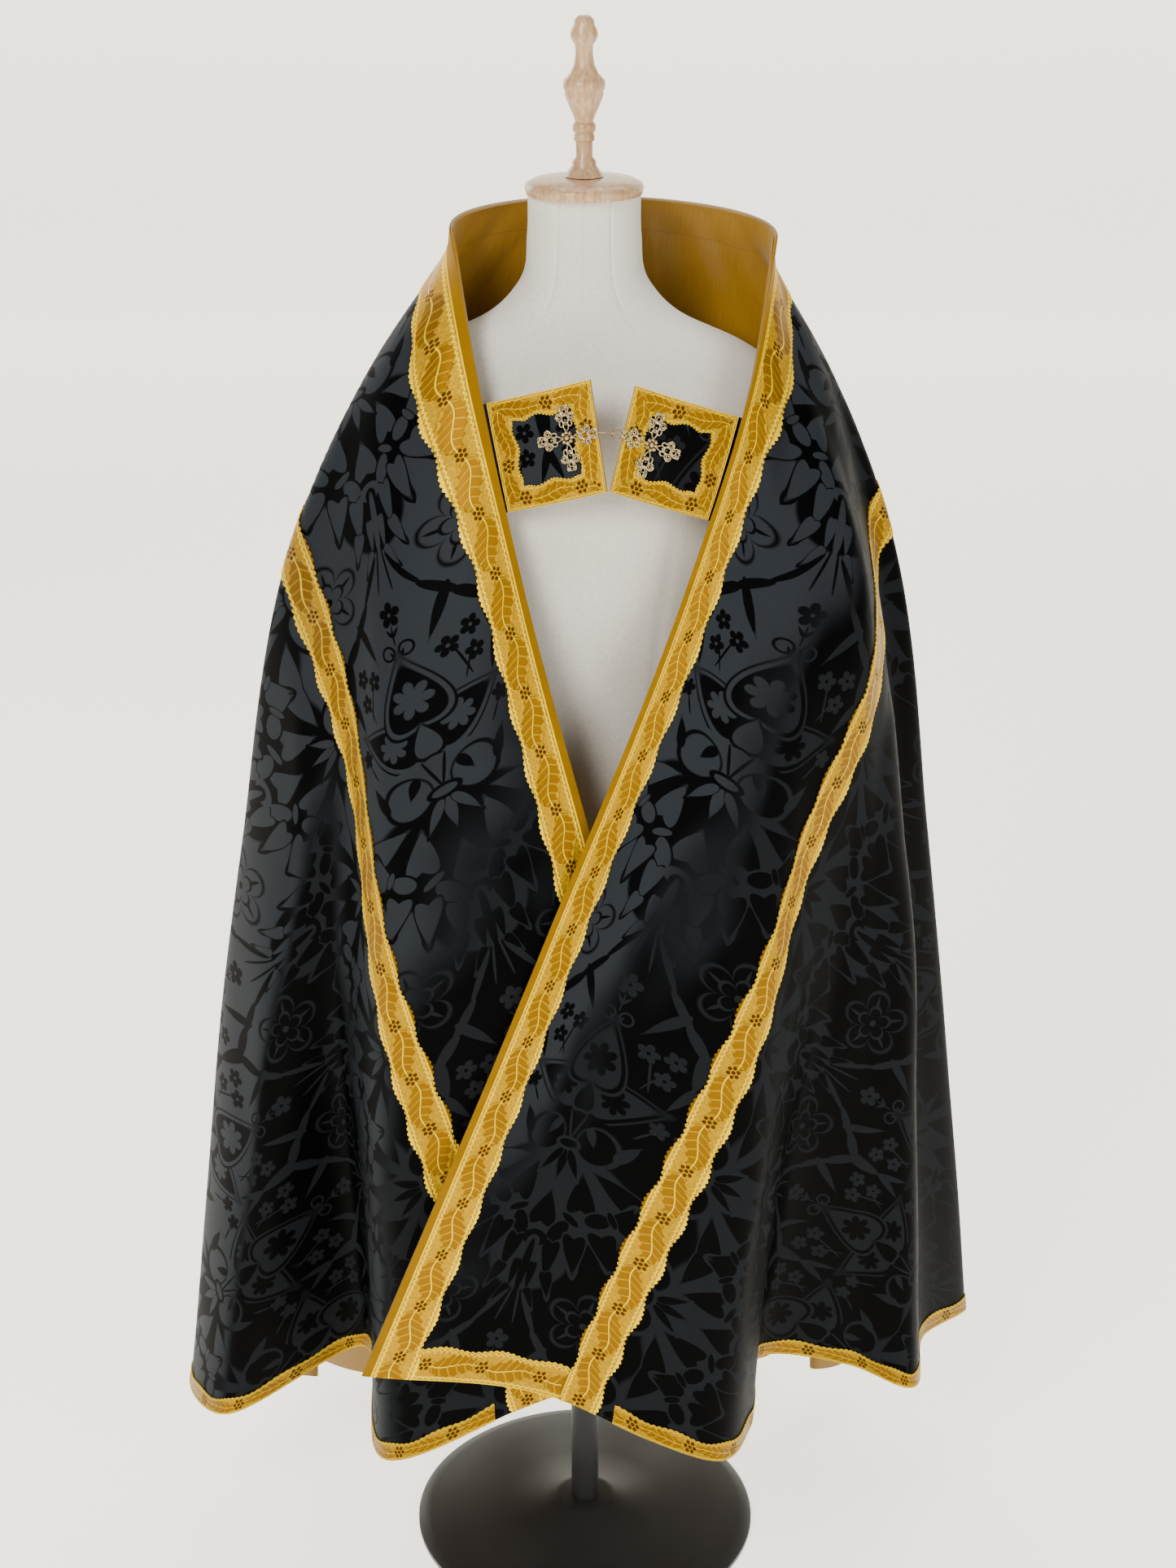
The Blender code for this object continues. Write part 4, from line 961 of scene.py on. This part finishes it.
def make_braids(face, lining):
    """All galloons that lie on the cope."""
    edge_half = (EDGE_GALLOON - PLAIN_STRIP) / 2
    outer_half = (OUTER_GALLOON_IN + OUTER_GALLOON_OUT) / 2
    edge_gold = make_galloon("wide gold galloon", face, edge_half, BRIGHT_EDGE)
    outer_gold = make_galloon("gold galloon", face, outer_half, BRIGHT_OUTER)
    hem_gold = make_galloon("narrow gold galloon", face, HEM_GALLOON / 2, BRIGHT_HEM)
    for band, side in SIDES:
        long_braid("edge", band, side, 0.0, EDGE_GALLOON, (edge_gold, lining), PLAIN_STRIP)
        long_braid("outer", band, side, BAND_WIDTH - OUTER_GALLOON_IN,
                   BAND_WIDTH + OUTER_GALLOON_OUT, (outer_gold,))
        foot_braid(band, side, outer_gold)
    hem_braids(hem_gold)


def foot_braid(band, side, gold):
    """The galloon across the foot of a band, scalloped on its upper side."""
    low = EDGE_GALLOON - FOOT_BRAID_LAPS[0]
    high = BAND_WIDTH - OUTER_GALLOON_IN + FOOT_BRAID_LAPS[1]
    y = np.arange(low, high, BRAID_STEP)[:, None]
    depth = FOOT_GALLOON + scalloped(y, 0.0)
    across = np.linspace(0, 1, BRAID_ROWS)[None]
    x = side * (np.sqrt(RADIUS**2 - y**2) - (1 - across) * depth)
    y = np.broadcast_to(y, x.shape)
    share, fall = on_cloth(x, y)
    cloth("foot_braid_" + band, share, fall, FOOT_BRAID, paired(y, 1 - 2 * across), (gold,),
          "galloon", "foot_galloon_" + band, (high - low, FOOT_GALLOON))


def hem_braids(gold):
    """The narrow galloon round the hem, in three lengths."""
    tip = math.asin((BAND_WIDTH + OUTER_GALLOON_OUT) / RADIUS) / math.pi + HEM_TIP
    bounds = [tip, *SIDE_SEAMS, 1 - tip]
    lengths = np.linalg.norm(np.diff(PLACES, axis=1), axis=2).sum(axis=1)
    lines = np.linspace(0, 1, SHARE_LINES)
    for name, start, end in zip(PANELS, bounds, bounds[1:]):
        share = np.arange(start, end, HEM_STEP / (math.pi * RADIUS))
        share = np.append(share, end)[:, None]
        along = share * math.pi * RADIUS
        depth = HEM_GALLOON + scalloped(along, 0.0) * HEM_SCALLOP
        length = np.interp(share, lines, lengths)
        rows = np.linspace(0, 1, HEM_ROWS)[None]
        fall = 1 - (1 - rows) * depth / length
        share = np.broadcast_to(share, fall.shape)
        cloth("hem_braid_" + name, share, fall, BRAID, paired(along, 1 - 2 * rows), (gold,),
              "galloon", "hem_galloon_" + name,
              (float(np.ptp(along)), HEM_GALLOON))


LINING_REACH = 0.47
LINING_STEP = 0.0035
LINING_DEPTH = 0.30
LINING_TOP = 0.0004
LINING_ROWS = 62
PUCKER = 0.00045
PUCKER_REACH = 0.010
PUCKER_TURNS = 260
PUCKER_DRIFT = (1.4, 37)
PUCKER_SWELL = (0.6, 0.4, 61)
SEAM_LINE_NARROWER = 4


def make_neck_lining(satin):
    """The lining inside the open neck, puckered along its stitched line."""
    x = np.arange(-LINING_REACH, LINING_REACH, LINING_STEP)[:, None]
    y = np.linspace(LINING_TOP, LINING_DEPTH, LINING_ROWS)[None]
    points, normals = on_drape(*on_cloth(x, y))
    off_line = (y - STITCH_LINE) / PUCKER_REACH
    drift, slow = PUCKER_DRIFT
    least, swell, turns = PUCKER_SWELL
    rows = np.sin(x * PUCKER_TURNS + drift * np.sin(x * slow))
    rows = rows * (least + swell * np.sin(x * turns + 1))
    ridge = np.exp(-(off_line * SEAM_LINE_NARROWER)**2)
    pucker = PUCKER * (rows * np.exp(-off_line**2) + ridge)
    points = points + normals * pucker[..., None]
    made = shell("collar_lining", points, normals, LINING, paired(x, y), (satin,))
    carried(made, "lining", "neck_lining")


# ---- the clasp ----

Tab = namedtuple("Tab", "name side start height top")
UNDER_TAB = Tab("under", -1, 0.412, 0.114, (0.006, -0.128, 1.420))
OVER_TAB = Tab("over", 1, 0.413, 0.107, (0.049, -0.128, 1.414))
TAB_MEET = (0.0235, -0.158, 1.317)
TAB_PART = 0.0012
TAB_BORDER = 0.023
TAB_EDGE = 0.0004
TAB_SLIVER = 0.004
TAB_INSET = 0.0053
TAB_BOW = 0.003
TAB_PATTERN = (0.11, -0.13)
TAB_TUCK = 0.10
TAB_GRID = (40, 34)
TAB_SEWN_ROW = 4
TAB_BRAID_COLUMNS = 90
TAB_CORNER = 0.2
TAB_BRAID_SHIFT = 0.02


def tab_spot(tab, s, t):
    """Places on a tab: s from the sewn side (0) to the inner side (1), t from top to foot."""
    low = np.array(TAB_MEET) + np.array((tab.side * TAB_PART, 0, 0))
    x = tab.side * (tab.start + t * tab.height)
    share, fall = on_cloth(x, np.full_like(x, TAB_EDGE))
    sewn = read_table(PLACES, share, fall) - read_table(NORMALS, share, fall) * TAB_INSET
    inner = np.array(tab.top) * (1 - t[..., None]) + low * t[..., None]
    spot = sewn * (1 - s[..., None]) + inner * s[..., None]
    spot[..., 1] -= TAB_BOW * np.sin(np.pi * np.clip(s, 0, 1))
    return spot


def front_facing(points):
    """The directions of a grid on the side that looks to the front."""
    normals = facing(points)
    return np.where(normals[..., 1:2] > 0, -normals, normals)


def make_tab(tab, damask, gold, lining):
    """A damask tab with a mitred galloon frame, scalloped inside."""
    columns, rows = TAB_GRID
    s, t = np.meshgrid(np.linspace(-TAB_TUCK, 1, columns), np.linspace(0, 1, rows), indexing="ij")
    points = tab_spot(tab, s, t)
    width = float(np.linalg.norm(points[-1, rows // 2] - points[TAB_SEWN_ROW, rows // 2]))
    height = tab.height
    uv = paired(tab.side * s * width + TAB_PATTERN[0], TAB_PATTERN[1] - t * height)
    cloth_part = shell("tab_cloth_" + tab.name, points, front_facing(points), CLOTH, uv,
                       (damask, lining))
    carried(cloth_part, "damask", "clasp_tab_" + tab.name)
    deep_s, deep_t = TAB_BORDER / width, TAB_BORDER / height
    near = TAB_SLIVER / width
    for number in range(4):
        along = np.linspace(0, 1, TAB_BRAID_COLUMNS)[:, None]
        inward = np.linspace(0, 1, BRAID_ROWS)[None]
        length = width if number % 2 == 0 else height
        wave = scalloped(along * length, number) / TAB_BORDER
        fade = smooth_step(0, TAB_CORNER, along) * smooth_step(1, 1 - TAB_CORNER, along)
        depth = inward * (1 + wave * fade)
        end = deep_s / (1 - near) if number % 2 == 0 else deep_t
        run = depth * end + along * (1 - 2 * depth * end)
        if number == 0:
            s, t = near + (1 - near) * run, depth * deep_t
        elif number == 1:
            s, t = 1 - depth * deep_s, run
        elif number == 2:
            s, t = near + (1 - near) * run, 1 - depth * deep_t
        else:
            s, t = near + depth * deep_s, run
        s, t = np.broadcast_arrays(s, t)
        points = tab_spot(tab, s, t)
        uv = paired(run * length + TAB_BRAID_SHIFT * number, 2 * inward - 1)
        piece = shell(f"tab_braid_{tab.name}_{number}", points, front_facing(points), BRAID, uv,
                      (gold,))
        carried(piece, "galloon", *(("tab_galloon_" + tab.name,) if number == 0 else ()))
        length - TAB_BORDER


# ---- the filigree crosses: wires and beads on the CAD plates ----

CrossAt = namedtuple("CrossAt", "node turn")
CROSSES = [CrossAt("filigree_cross_under", math.radians(9)),
           CrossAt("filigree_cross_over", math.radians(-19))]
WIRE = 0.00072
PLATE_HALF = 0.0010
Loop = namedtuple("Loop", "along off reach_along reach_off pinch")
ARM_LOOPS = [
    (0.0262, 0, 0.0050, 0.0042, 0.45), (0.0250, 0, 0.0026, 0.0019, 0.7),
    (0.0203, 0.0060, 0.0036, 0.0033, 0.2), (0.0206, 0.0060, 0.0018, 0.0016, 0),
    (0.0172, 0, 0.0048, 0.0030, 0.5), (0.0140, 0.0044, 0.0030, 0.0020, 0),
    (0.0108, 0, 0.0042, 0.0026, 0.3), (0.0300, 0.0030, 0.0015, 0.0015, 0),
]
LOOP_POINTS = 18
Bead = namedtuple("Bead", "along off size")
ARM_BEADS = [(0.0316, 0, 0.0011), (0.0203, 0.0098, 0.0009), (0.0228, 0, 0.0010),
             (0.0172, 0, 0.0009)]
ROSETTE_PETALS = 8
ROSETTE_REACH = 0.0050
PETAL = 0.0021
PETAL_LIFT = 0.0004
BOSS = 0.0028
BOSS_LIFT = 0.0008


def cross_frame(node, turn):
    """The frame of a cross plate: its middle and its outward face, read off the CAD node."""
    points = np.array([v.co[:] for v in node.data.vertices])
    middle = points.mean(axis=0)
    out = np.linalg.svd(points - middle)[2][2]
    out = Vector(out if out[1] < 0 else -out)
    across = (Vector((1, 0, 0)) - out * out.x).normalized()
    basis = Matrix((across, out.cross(across), out)).transposed().to_4x4()
    return Matrix.Translation(Vector(middle)) @ basis @ Matrix.Rotation(turn, 4, "Z")


def both_sides(rows, kind):
    """The rows, and the mirror image of each that stands off the arm's middle."""
    made = []
    for row in map(kind._make, rows):
        made += [row, row._replace(off=-row.off)] if row.off else [row]
    return made


def make_cross(place, metal):
    """Wire loops, beads and a rosette on a cross plate."""
    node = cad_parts[place.node]
    at = cross_frame(node, place.turn)
    curve = bpy.data.curves.new(place.node + "_wires", "CURVE")
    curve.dimensions = "3D"
    curve.bevel_depth = WIRE
    curve.bevel_resolution = 2
    beads = []
    for arm in range(4):
        turn = Matrix.Rotation(arm * math.pi / 2, 4, "Z")
        for loop in both_sides(ARM_LOOPS, Loop):
            wire = curve.splines.new("POLY")
            wire.points.add(LOOP_POINTS - 1)
            wire.use_cyclic_u = True
            for i, point in enumerate(wire.points):
                angle = 2 * math.pi * i / LOOP_POINTS
                narrow = 1 + loop.pinch * math.cos(angle)
                spot = Vector((loop.along + loop.reach_along * math.cos(angle),
                               loop.off + loop.reach_off * math.sin(angle) * narrow, 0))
                point.co = (*(at @ turn @ spot), 1)
        beads += [(turn @ Vector((bead.along, bead.off, 0)), bead.size)
                  for bead in both_sides(ARM_BEADS, Bead)]
    beads.append((Vector((0, 0, PLATE_HALF + BOSS_LIFT)), BOSS))
    for i in range(ROSETTE_PETALS):
        angle = 2 * math.pi * i / ROSETTE_PETALS
        beads.append((Vector((ROSETTE_REACH * math.cos(angle), ROSETTE_REACH * math.sin(angle),
                              PLATE_HALF + PETAL_LIFT)), PETAL))
    curve.materials.append(metal)
    carried(show(bpy.data.objects.new(curve.name, curve)), "filigree", place.node)
    bm = bmesh.new()
    for spot, size in beads:
        bmesh.ops.create_icosphere(bm, subdivisions=2, radius=size,
                                   matrix=at @ Matrix.Translation(spot))
    carried(from_bmesh(place.node + "_beads", bm, metal), "filigree")


# ---- the dress form ----

# The torso's rings: height, half width, front and back
TORSO = [
    (0.790, 0.150, -0.098, 0.112), (0.840, 0.168, -0.108, 0.124),
    (0.930, 0.165, -0.106, 0.118), (1.030, 0.146, -0.098, 0.104),
    (1.130, 0.158, -0.104, 0.108), (1.230, 0.186, -0.106, 0.114),
    (1.310, 0.208, -0.090, 0.1309), (1.360, 0.212, -0.070, 0.118),
    (1.395, 0.200, -0.054, 0.104), (1.425, 0.160, -0.046, 0.088),
    (1.452, 0.102, -0.044, 0.076), (1.485, 0.068, -0.044, 0.068),
    (1.535, 0.058, -0.044, 0.062), (1.575, 0.057, -0.046, 0.060),
]
TORSO_DRAWN_IN = 0.0012
TORSO_SEAMS = (-90, -62, -118, 0, 180, 62, 118, 90)
SEAM_DEPTH = 0.0012
SEAM_WIDTH = 0.0022
TORSO_GIRTH = 0.13
TORSO_RINGS = 150
TORSO_STEPS = 180
TORSO_SHARP = 50
TURNED_SHARP = 48


def make_torso(cover):
    """The padded torso: smooth rings with sewn seams down the cover."""
    rows = np.array([TORSO])
    z = np.linspace(TORSO[0][0], TORSO[-1][0], TORSO_RINGS)
    half, front, back = spline(rows[..., 0], rows[..., 1:], z[None])[0].T
    angle = np.linspace(0, 2 * np.pi, TORSO_STEPS + 1)[None, :-1]
    seams = np.zeros_like(angle)
    for seam in TORSO_SEAMS:
        off = (angle - math.radians(seam) + np.pi) % (2 * np.pi) - np.pi
        seams = seams + np.exp(-(off * TORSO_GIRTH / SEAM_WIDTH)**2)
    drawn = TORSO_DRAWN_IN + SEAM_DEPTH * np.minimum(seams, 1)
    middle = ((front + back) / 2)[:, None]
    depth = ((back - front) / 2)[:, None]
    x = (half[:, None] - drawn) * np.cos(angle)
    y = middle + (depth - drawn) * np.sin(angle)
    points = np.stack((x, y, np.broadcast_to(z[:, None], x.shape)), axis=-1)
    bm = bmesh.new()
    rings = [[bm.verts.new(point) for point in ring] for ring in points]
    for below, above in zip(rings, rings[1:]):
        for j in range(TORSO_STEPS):
            k = (j + 1) % TORSO_STEPS
            bm.faces.new((below[j], below[k], above[k], above[j]))
    bm.faces.new(rings[0][::-1])
    bm.faces.new(rings[-1])
    made = carried(from_bmesh("torso_cover", bm, cover, TORSO_SHARP), "cover", "form_torso")


NECK_CAP = [
    (0.0, 1.592), (0.030, 1.5915), (0.050, 1.5895), (0.0572, 1.5860), (0.0590, 1.5825),
    (0.0582, 1.5790), (0.057, 1.5756), (0.0, 1.5756),
]
FINIAL = [
    (0.0, 1.745), (0.0060, 1.7442), (0.0097, 1.7400), (0.0100, 1.7360), (0.0128, 1.7310),
    (0.0137, 1.7262), (0.0120, 1.7215), (0.0088, 1.7170), (0.0086, 1.7080), (0.0100, 1.6990),
    (0.0140, 1.6905), (0.0204, 1.6840), (0.0207, 1.6770), (0.0190, 1.6745), (0.0190, 1.6700),
    (0.0150, 1.6600), (0.0105, 1.6500), (0.0090, 1.6448), (0.0114, 1.6420), (0.0114, 1.6362),
    (0.0090, 1.6340), (0.0102, 1.6318), (0.0102, 1.6272), (0.0083, 1.6255), (0.0083, 1.6110),
    (0.0118, 1.6070), (0.0118, 1.6030), (0.0150, 1.5990), (0.0190, 1.5926), (0.0, 1.5926),
]
FOOT = [
    (0.0, 0.030), (0.030, 0.030), (0.036, 0.0290), (0.050, 0.022), (0.100, 0.0175), (0.150, 0.014),
    (0.185, 0.0115), (0.196, 0.0095), (0.200, 0.006), (0.200, 0.0012), (0.1988, 0.0), (0.0, 0.0),
]
MERGE = 0.00001
POLE = [(0.0, 0.7897), (0.0160, 0.7897), (0.0160, 0.0303), (0.0, 0.0303)]


TURNED = [
    ("neck_cap", NECK_CAP, "beech", "form_neck_cap", 96),
    ("finial", FINIAL, "beech", "form_finial", 64),
    ("stand_foot", FOOT, "iron", "form_foot", 128),
    ("stand_pole", POLE, "iron", "form_pole", 48),
]


def lathe(name, profile, material, slot, node, segments):
    """A piece turned about the form's axis."""
    bm = bmesh.new()
    verts = [bm.verts.new((radius, 0, z)) for radius, z in profile]
    edges = [bm.edges.new(pair) for pair in zip(verts, verts[1:])]
    bmesh.ops.spin(bm, geom=verts + edges, cent=(0, 0, 0), axis=(0, 0, 1), dvec=(0, 0, 0),
                   angle=2 * math.pi, steps=segments, use_merge=True)
    bmesh.ops.remove_doubles(bm, verts=bm.verts, dist=MERGE)
    bmesh.ops.recalc_face_normals(bm, faces=bm.faces)
    carried(from_bmesh(name, bm, material, TURNED_SHARP), slot, node)


# ---- the studio ----

PHOTO_HEIGHT = 1927
FOCAL_PIXELS = 3213
SENSOR = 36
CAMERA_AT = (0.0037, -2.6, 2.0)
CAMERA_DOWN = 22
PAPER = (0.93, 0.905, 0.82, 1)
PAPER_GLOW = 1.9
PAPER_MOTTLE = -0.015
PAPER_MOTTLE_SCALE = 1.5
PAPER_FRONT = -8.0
PAPER_BACK = 6.6
PAPER_BEND = 1.2
PAPER_TOP = 6.0
PAPER_HALF = 9.0
BEND_STEPS = 12
SKY = (0.93, 0.925, 0.90, 1)
SKY_STRENGTH = 0.22
Light = namedtuple("Light", "name at aim size power colour")
LIGHTS = [
    ("key", (-1.6, -3.0, 3.2), (0, 0, 0.95), 1.6, 150, (1.0, 0.985, 0.96)),
    ("fill", (2.4, -2.9, 2.0), (0, 0, 0.9), 1.8, 60, (0.97, 0.985, 1.0)),
    ("top", (0.2, 0.8, 3.6), (0, 0, 1.0), 2.0, 45, (1.0, 1.0, 1.0)),
    ("back", (-2.2, 2.4, 2.2), (0, 0, 0.9), 1.8, 30, (1.0, 0.99, 0.97)),
]


def make_studio():
    """A pale paper sweep, soft lights and the photograph's camera."""
    paper, wires, shader = finish("pale paper", {"Roughness": 0.95, "Specular IOR Level": 0.1,
                                                 "Emission Color": PAPER,
                                                 "Emission Strength": PAPER_GLOW})
    mottled = wires.noise(wires.spot(), PAPER_MOTTLE_SCALE) * PAPER_MOTTLE + 1.0
    wires.feed(shader["Base Color"], wires.dimmed(PAPER, mottled))
    bend = [(PAPER_FRONT, 0.0), (PAPER_BACK, 0.0)]
    for i in range(1, BEND_STEPS + 1):
        angle = math.pi / 2 * i / BEND_STEPS
        bend.append((PAPER_BACK + PAPER_BEND * math.sin(angle),
                     PAPER_BEND - PAPER_BEND * math.cos(angle)))
    bend.append((PAPER_BACK + PAPER_BEND, PAPER_TOP))
    verts = [(x, y, z) for y, z in bend for x in (-PAPER_HALF, PAPER_HALF)]
    faces = [(2 * i, 2 * i + 1, 2 * i + 3, 2 * i + 2) for i in range(len(bend) - 1)]
    mesh = bpy.data.meshes.new("paper_sweep")
    mesh.from_pydata(verts, [], faces)
    mesh.shade_smooth()
    mesh.materials.append(paper)
    show(bpy.data.objects.new("paper_sweep", mesh))
    for light in map(Light._make, LIGHTS):
        lamp = bpy.data.lights.new(light.name, "AREA")
        lamp.shape = "SQUARE"
        lamp.size = light.size
        lamp.energy = light.power
        lamp.color = light.colour
        held = show(bpy.data.objects.new(light.name, lamp))
        aim = (Vector(light.aim) - Vector(light.at)).to_track_quat("-Z", "Y")
        held.matrix_world = Matrix.Translation(light.at) @ aim.to_matrix().to_4x4()
    world = bpy.data.worlds.new("studio")
    world.use_nodes = True
    backdrop = world.node_tree.nodes["Background"]
    backdrop.inputs[0].default_value = SKY
    backdrop.inputs[1].default_value = SKY_STRENGTH
    bpy.context.scene.world = world
    lens = bpy.data.cameras.new("photo camera")
    lens.sensor_width = SENSOR
    lens.lens = SENSOR * FOCAL_PIXELS / PHOTO_HEIGHT
    camera = show(bpy.data.objects.new("photo camera", lens))
    camera.location = CAMERA_AT
    camera.rotation_euler = (math.radians(90 - CAMERA_DOWN), 0, 0)
    bpy.context.scene.camera = camera


def main():
    figure = figure_group()
    face = galloon_group()
    band_damask = make_damask("black damask on the bands", figure, BAND_FIGURE)
    body_damask = make_damask("black damask", figure, BODY_FIGURE)
    lining = make_lining()
    make_body(body_damask, lining)
    make_bands(band_damask, lining)
    make_braids(face, lining)
    make_neck_lining(lining)
    tab_gold = make_galloon("gold galloon on the tabs", face, TAB_BORDER / 2, BRIGHT_TAB)
    for tab in (UNDER_TAB, OVER_TAB):
        make_tab(tab, band_damask, tab_gold, lining)
    metal = make_filigree()
    for place in CROSSES:
        make_cross(place, metal)
    for node in ("clasp_link", "clasp_hook"):
        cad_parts[node].material_slots[0].material = metal
    make_torso(make_cover())
    finishes = {"beech": make_beech(), "iron": make_iron()}
    for name, profile, slot, node, segments in TURNED:
        lathe(name, profile, finishes[slot], slot, node, segments)
    make_studio()


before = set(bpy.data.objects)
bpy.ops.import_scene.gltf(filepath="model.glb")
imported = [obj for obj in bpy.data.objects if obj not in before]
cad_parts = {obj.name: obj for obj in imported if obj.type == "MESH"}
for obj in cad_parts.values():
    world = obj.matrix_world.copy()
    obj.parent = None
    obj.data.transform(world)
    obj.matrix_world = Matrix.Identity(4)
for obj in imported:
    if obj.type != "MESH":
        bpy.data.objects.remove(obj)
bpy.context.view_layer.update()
PLACES, NORMALS = drape()
main()
